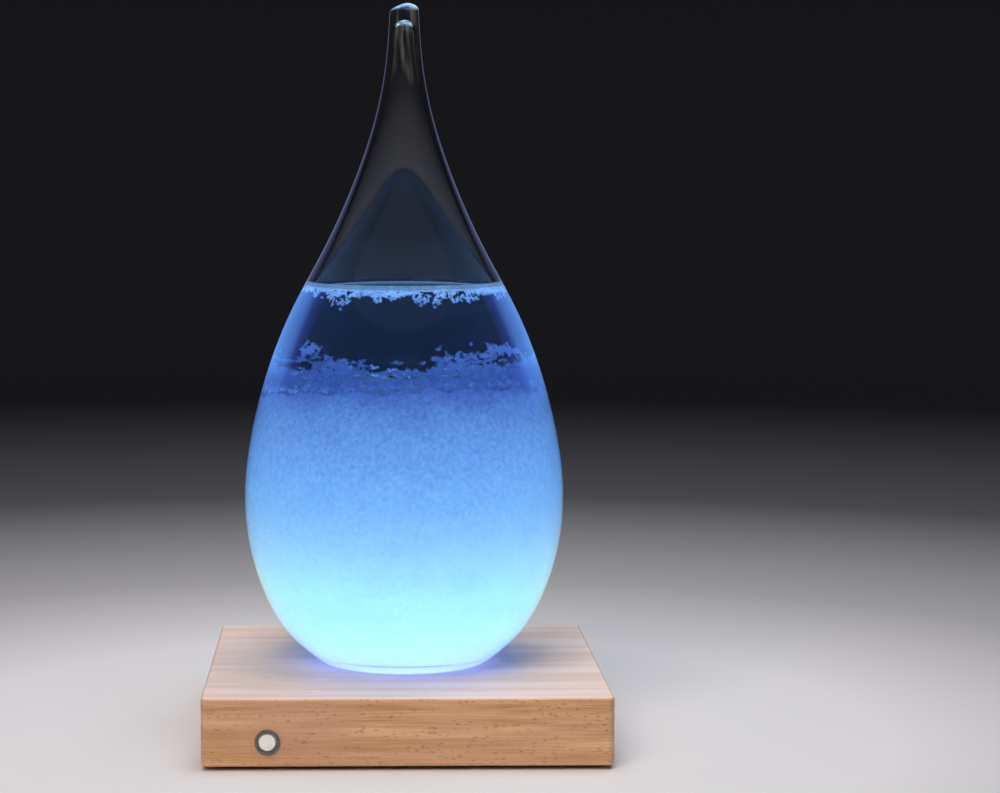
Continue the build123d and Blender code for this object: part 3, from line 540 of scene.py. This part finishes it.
def blown_glass():
    """Borosilicate glass, blown and fire polished: clear, and the light that its wall carries up from the
    lamp is painted on it as emission.

    So the vessel's edges get a painted glow: widely beside the solution, as a thin line up the neck, and at
    the tip.
    """
    look = bpy.context.scene.storm_glass
    material, shader = new_material("borosilicate glass")
    place = object_place(material)
    waves = add(material, "ShaderNodeTexNoise", {"Scale": 40.0, "Detail": 1.0}, {"Vector": place})
    link(material, ramp(material, [(0.2, "#F6FBFF"), (0.8, "#FFFFFF")], (waves, "Fac")), shader, "Base Color")
    shader.inputs["Roughness"].default_value = 0.0
    # Painted glow: the edges, where the wall is seen slanting, are painted with the lamp's light, widely
    # beside the solution and thinly up the neck.
    edge = add(material, "ShaderNodeLayerWeight", {"Blend": 0.5})
    bands = [(0.38, "#000000"), (0.48, "#1C2464"), (0.58, "#4168B0"), (0.85, "#5C8EDA")]
    beside = ramp(material, bands, (edge, "Facing"))
    thin = [(0.64, "#000000"), (0.86, "#434F72"), (1.0, "#8F99B4")]
    neck = ramp(material, thin, (edge, "Facing"))
    height = add(material, "ShaderNodeSeparateXYZ", links={"Vector": place})
    above = rise(material, (height, "Z"), LEVEL_MM - 0.6, LEVEL_MM + 0.6)
    sides = add(material, "ShaderNodeMixRGB", links={"Fac": above, "Color1": beside, "Color2": neck})
    # Painted highlights: fine light lines painted along the neck near the tip, where the wall faces the view.
    drawn = stretched_noise(material, place, (2.2, 2.2, 60), detail=2.0)
    painted_streaks = ramp(material, [(0.5, "#000000"), (0.68, "#77736A")], drawn)
    middle = spread(material, (edge, "Facing"), 0.03, 0.2, 1.0, 0.0)
    near_tip = rise(material, (height, "Z"), *HIGHLIGHT_STREAKS_MM)
    shown = add(material, "ShaderNodeMath", {"operation": "MULTIPLY"}, {0: middle, 1: near_tip})
    streaked = add(
        material,
        "ShaderNodeMixRGB",
        {"blend_type": "ADD"},
        {"Fac": (shown, "Value"), "Color1": (sides, "Color"), "Color2": painted_streaks},
    )
    # Painted highlight: an uneven light-blue glow painted on the tip.
    uneven = stretched_noise(material, place, (2.5, 2.5, 1.2), detail=2.0)
    painted_tip_highlight = ramp(material, [(0.34, "#2C5288"), (0.48, "#6FAEE2"), (0.6, "#BCE6FC")], uneven)
    tip = rise(material, (height, "Z"), TIP_MM - CROWN_DEEP, TIP_MM - CROWN_SOLID)
    crown = add(
        material, "ShaderNodeMixRGB", links={"Fac": tip, "Color1": (streaked, "Color"), "Color2": painted_tip_highlight}
    )
    # The painted glow goes on the outside of the wall only, from the bed's top up.
    outside = add(material, "ShaderNodeAttribute", {"attribute_name": "outside"})
    bare = rise(material, (height, "Z"), *BARE_WALL_MM)
    where = add(material, "ShaderNodeMath", {"operation": "MULTIPLY"}, {0: (outside, "Fac"), 1: bare})
    glow = add(
        material,
        "ShaderNodeMixRGB",
        {"Color1": linear("#000000")},
        {"Fac": (where, "Value"), "Color2": (crown, "Color")},
    )
    # A violet-blue glow painted on the foot stands in for the lamp's bluest light falling on the wood.
    foot = spread(material, (height, "Z"), BLOCK_TOP, BLOCK_TOP + FOOT_SPILL_MM * MM, 1.0, 0.0)
    painted_foot_spill = add(
        material,
        "ShaderNodeMixRGB",
        {"blend_type": "ADD", "Color2": linear("#5A48D8")},
        {"Fac": foot, "Color1": (glow, "Color")},
    )
    link(material, (painted_foot_spill, "Color"), shader, "Emission Color")
    shader.inputs["Emission Strength"].default_value = look.glow
    shader.inputs["IOR"].default_value = 1.47
    shader.inputs["Transmission Weight"].default_value = 1.0
    return material


def camphor_solution():
    """Water and alcohol with camphor in it: as clear as water, deep blue over the lit crystals."""
    look = bpy.context.scene.storm_glass
    material, shader = new_material("camphor solution")
    place = object_place(material)
    drift = add(material, "ShaderNodeTexNoise", {"Scale": 60.0, "Detail": 2.0}, {"Vector": place})
    tint = add(material, "ShaderNodeValToRGB", links={"Fac": (drift, "Fac")})
    tint.color_ramp.elements[0].color = [c * 0.9 for c in look.liquid_tint] + [1]
    tint.color_ramp.elements[1].color = [*look.liquid_tint, 1]
    link(material, (tint, "Color"), shader, "Base Color")
    shader.inputs["Roughness"].default_value = 0.0
    shader.inputs["IOR"].default_value = 1.36
    shader.inputs["Transmission Weight"].default_value = 1.0
    return material


# ---- crystals: heights over the block in millimetres, and the colour of the painted glow seen there through the solution ----
BED_GLOW = [
    (4, "#B7F0FA"),
    (13, "#AFFCFE"),
    (26, "#A5F0FB"),
    (33, "#98DDFC"),
    (44, "#86C4FB"),
    (56, "#78B5FB"),
    (68, "#6AA2EE"),
    (74, "#6398E4"),
    (80, "#5888D7"),
    (85, "#486FC4"),
    (89, "#3A57AE"),
    (96, "#3E5DA8"),
]
FEATHER_GLOW = [(80, "#263C78"), (90, "#2B4686"), (97, "#3E5FA6"), (110, "#4A70B8"), (117, "#7FB2F2")]
# The shader's strength, which lets the colours in its ramp stay under 1.
GLOW_SCALE = 5.0
# The share of the light that gets through the wall.
GLASS_LOSS = 0.88
# The glow's bands wander up and down by this much.
WANDER_MM = 3.5
# The bed's top, between whose heights the painted shade on faces that look up goes from its low share to its
# high one.
UPPER_MM = (82.0, 88.5)


def lit_crystals(name, stops, grain_mm, depth, upper):
    """Camphor crystals, white, with the lamp's light under them painted on as emission: cyan white at the
    foot, bluer with height.

    depth says how much the grain shows low down and at the top. Faces that look up, away from the lamp, get
    painted shade and shine with only a part of the painted glow: upper gives that part for low ones and for
    high ones.
    """
    look = bpy.context.scene.storm_glass
    material, shader = new_material(name)
    place = object_place(material)
    # Painted glow: the lamp's light under the crystals, painted on as emission, cyan white low down and bluer
    # with height.
    height = add(material, "ShaderNodeSeparateXYZ", links={"Vector": place})
    cloud = add(material, "ShaderNodeTexNoise", {"Scale": 1 / (9 * MM), "Detail": 3.0}, {"Vector": place})
    wander = spread(material, (cloud, "Fac"), 0.0, 1.0, -WANDER_MM * MM, WANDER_MM * MM)
    moved = add(material, "ShaderNodeMath", {"operation": "ADD"}, {0: (height, "Z"), 1: wander})
    low, high = stops[0][0], stops[-1][0]
    level = spread(material, (moved, "Value"), BLOCK_TOP + low * MM, BLOCK_TOP + high * MM)
    glow = ramp(material, [((h - low) / (high - low), c) for h, c in stops], level)
    for element in glow[0].color_ramp.elements:
        seen = list(element.color)[:3]
        behind = [s / math.sqrt(t) / GLASS_LOSS / GLOW_SCALE for s, t in zip(seen, look.liquid_tint)]
        element.color = behind + [1]
    grain = add(
        material,
        "ShaderNodeTexNoise",
        {"Scale": 1 / (grain_mm * MM), "Detail": 4.0, "Roughness": 0.65},
        {"Vector": place},
    )
    snow = spread(material, (grain, "Fac"), 0.3, 0.64, 0.3, 1.15)
    # The grain shows little near the light, where the crystals are packed, and more towards the top.
    looser = spread(material, level, 0.35, 1.0, depth[0], depth[1])
    shade = add(
        material,
        "ShaderNodeMixRGB",
        {"blend_type": "MULTIPLY"},
        {"Fac": looser, "Color1": glow, "Color2": snow},
    )
    # Painted shade: faces that look up keep only a part of the painted glow.
    shape = add(material, "ShaderNodeNewGeometry")
    facing = add(material, "ShaderNodeSeparateXYZ", links={"Vector": (shape, "Normal")})
    low_z, high_z = (spot_at(0, 0, h).z for h in UPPER_MM)
    part = spread(material, (height, "Z"), low_z, high_z, upper[0], upper[1])
    under = add(
        material,
        "ShaderNodeMapRange",
        {"From Min": 0.5, "From Max": 0.95, "To Min": 1.0},
        {"Value": (facing, "Z"), "To Max": part},
    )
    lit = add(
        material,
        "ShaderNodeMixRGB",
        {"blend_type": "MULTIPLY", "Fac": 1.0},
        {"Color1": (shade, "Color"), "Color2": (under, "Result")},
    )
    link(material, (lit, "Color"), shader, "Emission Color")
    white = ramp(material, [(0.3, "#93A3B8"), (0.65, "#B7C4D4")], (grain, "Fac"))
    link(material, white, shader, "Base Color")
    shader.inputs["Emission Strength"].default_value = GLOW_SCALE * look.glow
    shader.inputs["Roughness"].default_value = 0.55
    bumps = {"Strength": 0.6, "Distance": 0.3 * MM}
    relief = add(material, "ShaderNodeBump", bumps, {"Height": (grain, "Fac")})
    link(material, (relief, "Normal"), shader, "Normal")
    return material


def dress(obj, material):
    """Gives a piece this one material."""
    obj.data.materials.clear()
    obj.data.materials.append(material)


# ======================================= the pieces =======================================

# ---- what is in the vessel, in millimetres: heights over the block unless another word says so ----
LEVEL_MM = 116.6
# How high the solution is drawn up at the wall and close to it, and how far from the wall it ends.
MENISCUS_RISE = (1.0, 0.35)
MENISCUS_WIDTH = (0.5, 1.6)
# The solution and the glass overlap by this much, so that no air shows between them.
OVERLAP = 0.1
BED_MIDDLE = 84.8
# How much the bed's top rises for each millimetre along X and Y.
BED_RISE = (0.03, -0.1)
# The bed is turned up to here before its slanting top is cut, this far in from the glass.
BED_BLANK_TOP = 96.0
BED_GAP = 0.5
# How deep the loose, lumpy layer at its top is.
LOOSE_DEPTH = 5.0
BED_VOXEL = 0.9 * MM
# Clouds that roughen the bed: size, strength, the level that stays put, and whether at the top alone.
BED_CLOUDS = [
    (7 * MM, 3.4 * MM, 0.68, "top"),
    (2.0 * MM, 2.6 * MM, 0.62, "top"),
    (1.4 * MM, 0.5 * MM, 1.0, ""),
]

# ---- clumps of feathers, in millimetres ----
CRYSTAL_SEED = 11
UP = Vector((0, 0, 1))
# Small ones on the bed: the height where their spread is taken, room at the glass, and the bare middle.
STANDING_MM = 88.0
STANDING_ROOM = 2.4
STANDING_CORE = 0.2
# Those at the bed's rim: how far from the glass, and how far over the bed.
RIM_ROOM = (1.2, 4.0)
RIM_LIFT = -0.6
# The fringe under the surface: the depth where its spread is taken and room at the glass, its bare middle,
# and the depth where it starts.
FRINGE_TOP = (2.0, 1.2)
FRINGE_CORE = 0.62
FRINGE_START = 1.2
# How deep it hangs, and waves round it: each has its depth, how many there are, and where they start.
FRINGE_DEPTH = 2.6
FRINGE_LEAST = 0.4
FRINGE_WAVES = [(1.3, 5, 1), (1.2, 13, 0), (0.7, 29, 0)]
# The floating skin: room at the glass, and its depths from its middle below to its middle above.
CRUST_ROOM = 0.7
CRUST_DEPTHS = (1.4, 1.3, 1.0, 0.4, 0.3)
# Branches: place, with its height over the block, how wide and tall they spread, and how many clumps.
BRANCHES = [
    (-18, -26, 91.4, 2.3, 1.7, 50),
    (-25, -24, 89.4, 2.0, 0.9, 22),
    (7, -28, 90.2, 2.6, 0.8, 34),
    (14, -27, 93.6, 2.5, 1.7, 56),
    (21, -25, 91.0, 3.2, 1.0, 40),
    (29, -20, 90.6, 2.6, 1.2, 50),
    (27, -21, 97.6, 2.6, 0.55, 58),
    (31, -17, 96.6, 1.8, 0.7, 46),
    (22, -23, 95.4, 2.0, 0.4, 22),
    (34, -10, 92.4, 2.0, 1.2, 34),
    (-28, -21, 97.8, 1.8, 0.6, 50),
    (-36, 4, 90.0, 2.0, 1.4, 34),
    (10, 26, 85.0, 4.0, 1.4, 44),
    (-14, 30, 84.4, 4.0, 1.2, 40),
]


def bed_height(x, y):
    """Height of the bed's top over the block at a place in the vessel, all in millimetres."""
    return BED_MIDDLE + BED_RISE[0] * x + BED_RISE[1] * y


def vessel_radius(height):
    """Radius of the space in the glass at a height over the block, in millimetres."""
    return float(np.interp(height, [p[1] for p in VESSEL_SIDE], [p[0] for p in VESSEL_SIDE]))


def spot_at(x, y, height):
    """A place in millimetres, its height over the block, as a point of the frame."""
    return Vector((x * MM, y * MM, BLOCK_TOP + height * MM))


def rough(piece, size, strength, level, group):
    """Roughens a dense mesh with clouds of one size, only in a vertex group if one is named."""
    texture = bpy.data.textures.new(piece.name + "_clouds", "CLOUDS")
    texture.noise_scale = size
    texture.noise_depth = 3
    modifier = piece.modifiers.new("rough", "DISPLACE")
    modifier.texture = texture
    modifier.texture_coords = "LOCAL"
    modifier.strength = strength
    modifier.mid_level = level
    if group:
        modifier.vertex_group = group
        modifier.direction = "Z"
    bpy.ops.object.modifier_apply(modifier="rough")


class STORMGLASS_OT_glass(bpy.types.Operator):
    """Blow the clear drop, one closed wall from its foot to its tip."""

    bl_idname = "stormglass.glass"
    bl_label = "Blown glass drop"

    def execute(self, context):
        wall = context.scene.storm_glass.wall / MM
        inside = cavity_side(wall)
        foot = [(FILL_HOLE_R, CAVITY_FLOOR), (FILL_HOLE_R, PUNT_DEPTH), (PUNT_R, PUNT_DEPTH), (PUNT_R, 0.0)]
        glass = turn("blown_glass_drop", inside[::-1] + foot + outer_side(), GLASS_STEPS)
        outside = glass.data.attributes.new("outside", "FLOAT", "POINT")
        for vertex, mark in zip(glass.data.vertices, outside.data):
            height = (vertex.co.z - BLOCK_TOP) / MM
            radius = math.hypot(vertex.co.x, vertex.co.y) / MM
            # A vertex beyond the middle of the wall is on the outside.
            mark.value = float(radius > vessel_radius(height) + wall / 2 or height > CAVITY_TOP + 1.0)
            # The tip was pulled off to one side, so its highest point isn't over the middle.
            off = max(0.0, height - CAVITY_TOP - 1.5)
            vertex.co.z -= TIP_SLANT * off * max(0.0, TIP_SHIFT * MM - vertex.co.x)
        dress(glass, blown_glass())
        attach(glass, "glass")
        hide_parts("glass_drop")
        return {"FINISHED"}


class STORMGLASS_OT_liquid(bpy.types.Operator):
    """Pour the solution over the crystals, with its surface drawn up at the wall."""

    bl_idname = "stormglass.liquid"
    bl_label = "Storm solution"

    def execute(self, context):
        wall = context.scene.storm_glass.wall / MM
        side = cavity_side(wall - OVERLAP, LEVEL_MM + MENISCUS_RISE[0], -OVERLAP)
        rim_r = side[-1][0]
        drawn_up = (rim_r - MENISCUS_WIDTH[0], LEVEL_MM + MENISCUS_RISE[1])
        top = [drawn_up, (rim_r - MENISCUS_WIDTH[1], LEVEL_MM), (0.0, LEVEL_MM)]
        liquid = turn("storm_solution", [(0.0, side[0][1])] + side + top, GLASS_STEPS)
        dress(liquid, camphor_solution())
        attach(liquid, "glass")
        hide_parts("storm_liquid")
        return {"FINISHED"}


class STORMGLASS_OT_crystals(bpy.types.Operator):
    """Settle the crystal bed and grow feathers on it and under the surface."""

    bl_idname = "stormglass.crystals"
    bl_label = "Crystals"

    def execute(self, context):
        look = context.scene.storm_glass
        rng = random.Random(CRYSTAL_SEED)
        packed = lit_crystals(
            "camphor crystals", BED_GLOW, grain_mm=1.3, depth=(0.06, 0.6), upper=(0.14, 0.55)
        )
        self.settle(look, packed)
        pattern = feather("crystal_feather", look.feather_length)
        bunches = [bunch(number, pattern, rng) for number in range(BUNCHES)]
        feathers = lit_crystals(
            "camphor feathers", FEATHER_GLOW, grain_mm=1.2, depth=(0.4, 0.6), upper=(0.3, 0.3)
        )
        self.finish(scatter("standing_feathers", bunches, self.standing(look, rng), rng), feathers)
        self.finish(scatter("hanging_feathers", bunches, self.hanging(look, rng), rng), feathers)
        self.finish(scatter("rim_feathers", bunches, self.rim(look, rng), rng), packed)
        self.float_crust(feathers)
        for spare in [pattern, *bunches]:
            bpy.data.objects.remove(spare)
        return {"FINISHED"}

    def settle(self, look, material):
        """The bed: packed crystals that fill the vessel to a slanting, lumpy top."""
        side = cavity_side(look.wall / MM + BED_GAP, BED_BLANK_TOP, BED_GAP)
        bed = turn("settled_crystals", [(0.0, side[0][1])] + side + [(0.0, BED_BLANK_TOP)], GLASS_STEPS)
        bpy.ops.object.mode_set(mode="EDIT")
        bpy.ops.mesh.select_all(action="SELECT")
        bpy.ops.mesh.bisect(
            plane_co=spot_at(0, 0, BED_MIDDLE),
            plane_no=(-BED_RISE[0], -BED_RISE[1], 1),
            use_fill=True,
            clear_outer=True,
        )
        bpy.ops.object.mode_set(mode="OBJECT")
        remesh = bed.modifiers.new("even", "REMESH")
        remesh.mode = "VOXEL"
        remesh.voxel_size = BED_VOXEL
        bpy.ops.object.modifier_apply(modifier="even")
        top = bed.vertex_groups.new(name="top")
        for vertex in bed.data.vertices:
            x, y, z = (c / MM for c in vertex.co)
            share = (z - BLOCK_TOP / MM - bed_height(x, y) + LOOSE_DEPTH) / LOOSE_DEPTH
            if share > 0:
                top.add([vertex.index], min(share, 1.0), "REPLACE")
        for size, strength, level, group in BED_CLOUDS:
            rough(bed, size, strength, level, group)
        bpy.ops.object.shade_smooth()
        self.finish(bed, material)
        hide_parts("crystal_bed")

    def standing(self, look, rng):
        """Small clumps all over the bed, then larger branches at a few places."""
        spots = []
        widest = vessel_radius(STANDING_MM) - STANDING_ROOM
        for _ in range(look.bed_clumps):
            angle = rng.uniform(0, math.tau)
            radius = widest * math.sqrt(rng.uniform(STANDING_CORE, 1))
            x, y = radius * math.cos(angle), radius * math.sin(angle)
            place = spot_at(x, y, bed_height(x, y) + rng.uniform(-0.4, 0.7))
            spots.append((place, UP, rng.uniform(0.5, 1.0)))
        for x, y, height, wide, tall, count in BRANCHES:
            for _ in range(count):
                right, back, up = rng.gauss(0, wide), rng.gauss(0, 0.6 * wide), rng.gauss(0, tall)
                place = spot_at(x + right, y + back, height + up + 0.25 * tall * math.sin(right))
                sideways = Vector((rng.choice((-1, 1)), 0, 0.4))
                spots.append((place, sideways, rng.uniform(0.5, 1.05)))
        return spots

    def rim(self, look, rng):
        """Clumps round the rim of the bed, as bright as its side, so that it has no clean edge."""
        spots = []
        for _ in range(look.rim_clumps):
            angle = rng.uniform(0, math.tau)
            lift = rng.gauss(RIM_LIFT, 1.0)
            radius = vessel_radius(BED_MIDDLE) - rng.uniform(*RIM_ROOM)
            x, y = radius * math.cos(angle), radius * math.sin(angle)
            spots.append((spot_at(x, y, bed_height(x, y) + lift), UP, rng.uniform(0.5, 1.0)))
        return spots

    def hanging(self, look, rng):
        """A ragged fringe under the surface, thickest at the wall."""
        spots = []
        widest = vessel_radius(LEVEL_MM - FRINGE_TOP[0]) - FRINGE_TOP[1]
        for _ in range(look.crust_clumps):
            angle = rng.uniform(0, math.tau)
            radius = widest * math.sqrt(rng.uniform(FRINGE_CORE, 1))
            waves = (deep * math.sin(count * angle + start) for deep, count, start in FRINGE_WAVES)
            reach = max(FRINGE_DEPTH + sum(waves), FRINGE_LEAST)
            drop = FRINGE_START + reach * rng.uniform(0, 1) ** 1.3
            place = spot_at(radius * math.cos(angle), radius * math.sin(angle), LEVEL_MM - drop)
            spots.append((place, -UP, rng.uniform(0.5, 0.95)))
        return spots

    def finish(self, piece, material):
        """Crystals ride in the glass, and all have the one material slot."""
        dress(piece, material)
        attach(piece, "glass")

    def float_crust(self, material):
        """The thin skin of crystals that floats at the surface."""
        edge = vessel_radius(LEVEL_MM) - CRUST_ROOM
        middle, inner, rim, rim_top, top = CRUST_DEPTHS
        outline = [(0.0, LEVEL_MM - middle), (edge * 0.7, LEVEL_MM - inner), (edge, LEVEL_MM - rim)]
        outline += [(edge, LEVEL_MM - rim_top), (0.0, LEVEL_MM - top)]
        skin = turn("floating_crust", outline, GLASS_STEPS)
        self.finish(skin, material)
        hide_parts("crystal_crust")


# ---- the base: its lamp's colour and strengths ----
LAMP_BLUE = "#9FF2FF"
WINDOW_GLOW = 0.9
CHIP_GLOW = 3.0


class STORMGLASS_OT_base(bpy.types.Operator):
    """Finish the beech block and everything fitted in it."""

    bl_idname = "stormglass.base"
    bl_label = "Beech base and fittings"

    def execute(self, context):
        black_abs = moulded("black ABS", "#202022", "#141416", 0.8, (0.42, 0.6), 0.03)
        white_abs = moulded("white ABS", "#FBFBFA", "#F0F0EE", 2.0, (0.3, 0.42), 0.01)
        zinc = moulded("zinc plated steel", "#C9CCD0", "#9EA2A8", 0.5, (0.24, 0.4), metallic=1.0)
        spring_steel = moulded("spring steel", "#B9BBBE", "#8D9095", 0.3, (0.2, 0.35), metallic=1.0)
        nickel = moulded("nickel plated steel", "#D2CDC2", "#A9A498", 0.7, (0.22, 0.36), metallic=1.0)
        dark_nickel = moulded(
            "black nickel plated brass", "#85888D", "#63666B", 0.6, (0.28, 0.4), metallic=0.55
        )
        nylon = moulded("natural nylon", "#E4E0D3", "#D3CFC1", 1.0, (0.4, 0.5))
        mask = moulded("white solder mask", "#EDEFEC", "#DDE0DC", 1.5, (0.3, 0.45))
        green = moulded("green solder mask", "#1D6B3C", "#0E4726", 1.1, (0.25, 0.4), 0.02)
        epoxy = moulded("black epoxy", "#26272A", "#17181A", 0.4, (0.5, 0.65))
        ceramic = moulded("fired ceramic", "#B39A76", "#8F7757", 0.4, (0.5, 0.6))
        rubber = moulded("black rubber", "#1C1C1D", "#111112", 0.5, (0.75, 0.9), 0.04)
        red_pvc = moulded("red PVC", "#B3201A", "#8E1512", 1.0, (0.35, 0.5))
        black_pvc = moulded("black PVC", "#1D1D1E", "#101011", 1.0, (0.35, 0.5))
        sleeve = moulded("printed cell sleeve", "#2F6B57", "#1D4A3B", 6.0, (0.25, 0.35), metallic=0.4)
        silicone = moulded("silicone rubber", "#D9DEE0", "#C3CACD", 1.5, (0.45, 0.6))
        opal = moulded("opal acrylic", "#F4FBFF", "#E2F4FA", 2.5, (0.4, 0.5))
        lamp = moulded("light chip", "#F5F0C8", "#E3E8F0", 1.2, (0.3, 0.4))
        for material, strength in ((opal, WINDOW_GLOW), (lamp, CHIP_GLOW)):
            shader = material.node_tree.nodes["Principled BSDF"]
            shader.inputs["Emission Color"].default_value = linear(LAMP_BLUE)
            shader.inputs["Emission Strength"].default_value = strength * context.scene.storm_glass.glow
        finishes = {
            "wood_block": beech(),
            "light_window": opal,
            "reflector_cup": white_abs,
            "ceiling_screws": zinc,
            "led_board": mask,
            "led_chips": lamp,
            "led_board_screws": zinc,
            "bottom_cover": black_abs,
            "cover_screws": zinc,
            "rubber_feet": rubber,
            "button_bezel": dark_nickel,
            "button_cap": white_abs,
            "switch_housing": black_abs,
            "switch_plunger": nylon,
            "switch_pins": nickel,
            "control_board": green,
            "control_chip": epoxy,
            "board_passives": ceramic,
            "board_spacers": nylon,
            "control_board_screws": zinc,
            "battery_holder": black_abs,
            "battery_cells": sleeve,
            "contact_plates": nickel,
            "contact_springs": spring_steel,
            "battery_door": black_abs,
            "wire_battery_red": red_pvc,
            "wire_battery_black": black_pvc,
            "wire_led_red": red_pvc,
            "wire_led_black": black_pvc,
            "fill_plug": silicone,
        }
        for node, material in finishes.items():
            dress(NODES[node], material)
        self.coil(spring_steel)
        return {"FINISHED"}

    def coil(self, material):
        """The button's spring, a copy with a mesh of its own."""
        spring = NODES["return_spring"].copy()
        spring.data = NODES["return_spring"].data.copy()
        spring.name = spring.data.name = "coil_spring"
        bpy.context.scene.collection.objects.link(spring)
        dress(spring, material)
        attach(spring, "base")
        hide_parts("return_spring")
        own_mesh(spring)


# ---- the studio: its floor is a wide bowl of paper, in millimetres, this far under the feet ----
FLOOR_GAP = 0.2
FLOOR_RINGS = (0.0, 600.0)
# Radius and rise over the floor of the bowl's curved side.
BOWL_SIDE = [
    (1150.0, 0.0),
    (1300.0, 18.0),
    (1430.0, 80.0),
    (1530.0, 190.0),
    (1600.0, 360.0),
    (1640.0, 600.0),
    (1660.0, 1000.0),
    (1660.0, 1700.0),
]
BOWL_RINGS = 40
BOWL_STEPS = 128
# The paper's colours from 0.15 m to 1.15 m away: pale near the object and darker away from it, a painted
# falloff of light.
PAPER_REACH = (0.15, 1.15)
PAPER_PAINTED_FALLOFF = [(0.0, "#D6D5D2"), (0.14, "#A5A4A3"), (0.42, "#58585B"), (1.0, "#2A2A2E")]
# Name, place, aim, width and height in metres, watts and colour.
LIGHTS = (
    ("top softbox", (0.1, 0.0, 1.15), (0, 0, 0.03), (0.9, 0.9), 12.0, "#EEF0FF"),
    ("front softbox", (-0.4, -1.0, 1.0), (0, 0, 0.03), (0.8, 0.8), 12.5, "#FFEFE0"),
)
ROOM_GREY = "#8890A0"
ROOM_STRENGTH = 0.25
# The camera: its place in metres, its turn in degrees, and its lens in millimetres on a 36 mm sensor.
CAMERA_PLACE = (-0.01453, -0.76537, 0.17044)
CAMERA_TURN = (84.993, 0.0, -0.923)
CAMERA_LENS = 89.185
CAMERA_SHIFT = 0.103


class STORMGLASS_OT_stage(bpy.types.Operator):
    """Set up the pale studio floor, its soft lights and the camera."""

    bl_idname = "stormglass.stage"
    bl_label = "Studio"

    def execute(self, context):
        self.lay_paper()
        self.hang_lights(context.scene)
        self.place_camera(context.scene)
        return {"FINISHED"}

    def lay_paper(self):
        """Pale paper, painted darker away from the object: a painted falloff of light."""
        down = (TABLE - BLOCK_TOP) / MM - FLOOR_GAP
        side = smooth_curve([(radius, down + up) for radius, up in BOWL_SIDE], BOWL_RINGS)
        bowl = turn("studio_bowl", [(radius, down) for radius in FLOOR_RINGS] + side, BOWL_STEPS)
        bpy.ops.object.mode_set(mode="EDIT")
        bpy.ops.mesh.select_all(action="SELECT")
        bpy.ops.mesh.flip_normals()
        bpy.ops.object.mode_set(mode="OBJECT")
        paper, shader = new_material("studio paper")
        # Painted falloff: the paper's colour darkens with distance from the object.
        away = add(paper, "ShaderNodeVectorMath", {"operation": "LENGTH"}, {"Vector": object_place(paper)})
        reach = spread(paper, (away, "Value"), PAPER_REACH[0], PAPER_REACH[1])
        link(paper, ramp(paper, PAPER_PAINTED_FALLOFF, reach), shader, "Base Color")
        shader.inputs["Roughness"].default_value = 0.9
        dress(bowl, paper)

    def hang_lights(self, scene):
        """Two softboxes that the glass doesn't mirror, in a dim room."""
        for name, place, aim, size, energy, colour in LIGHTS:
            start_clean()
            bpy.ops.object.light_add(type="AREA", location=place)
            light = bpy.context.object
            light.name = name
            light.data.shape = "RECTANGLE"
            light.data.size, light.data.size_y = size
            light.data.energy = energy
            light.data.color = linear(colour)[:3]
            light.rotation_euler = (Vector(aim) - Vector(place)).to_track_quat("-Z", "Y").to_euler()
            light.visible_glossy = light.visible_transmission = False
        world = bpy.data.worlds.new("dim room")
        scene.world = world
        world.use_nodes = True
        background = world.node_tree.nodes["Background"]
        background.inputs["Color"].default_value = linear(ROOM_GREY)
        background.inputs["Strength"].default_value = ROOM_STRENGTH

    def place_camera(self, scene):
        """A long lens a little above the glass, looking slightly down."""
        start_clean()
        bpy.ops.object.camera_add(location=CAMERA_PLACE, rotation=[math.radians(a) for a in CAMERA_TURN])
        camera = bpy.context.object
        camera.name = "camera"
        camera.data.sensor_width = 36.0
        camera.data.lens = CAMERA_LENS
        camera.data.shift_x = CAMERA_SHIFT
        camera.data.clip_start = 0.01
        scene.camera = camera
        scene.view_settings.view_transform = "Standard"


class STORMGLASS_PT_panel(bpy.types.Panel):
    """Lists the storm glass's settings and steps in the sidebar."""

    bl_idname = "STORMGLASS_PT_panel"
    bl_label = "Storm Glass"
    bl_space_type = "VIEW_3D"
    bl_region_type = "UI"
    bl_category = "Storm Glass"

    def draw(self, context):
        for name in StormGlassSettings.__annotations__:
            self.layout.prop(context.scene.storm_glass, name)
        for operator in OPERATORS:
            self.layout.operator(operator.bl_idname)


OPERATORS = (
    STORMGLASS_OT_base,
    STORMGLASS_OT_glass,
    STORMGLASS_OT_liquid,
    STORMGLASS_OT_crystals,
    STORMGLASS_OT_stage,
)
CLASSES = (StormGlassSettings, *OPERATORS, STORMGLASS_PT_panel)


def register():
    for cls in CLASSES:
        bpy.utils.register_class(cls)
    bpy.types.Scene.storm_glass = bpy.props.PointerProperty(type=StormGlassSettings)


def unregister():
    del bpy.types.Scene.storm_glass
    for cls in reversed(CLASSES):
        bpy.utils.unregister_class(cls)


def main():
    register()
    bpy.ops.stormglass.base()
    bpy.ops.stormglass.glass()
    bpy.ops.stormglass.liquid()
    bpy.ops.stormglass.crystals()
    bpy.ops.stormglass.stage()
    start_clean()


if __name__ == "__main__":
    main()
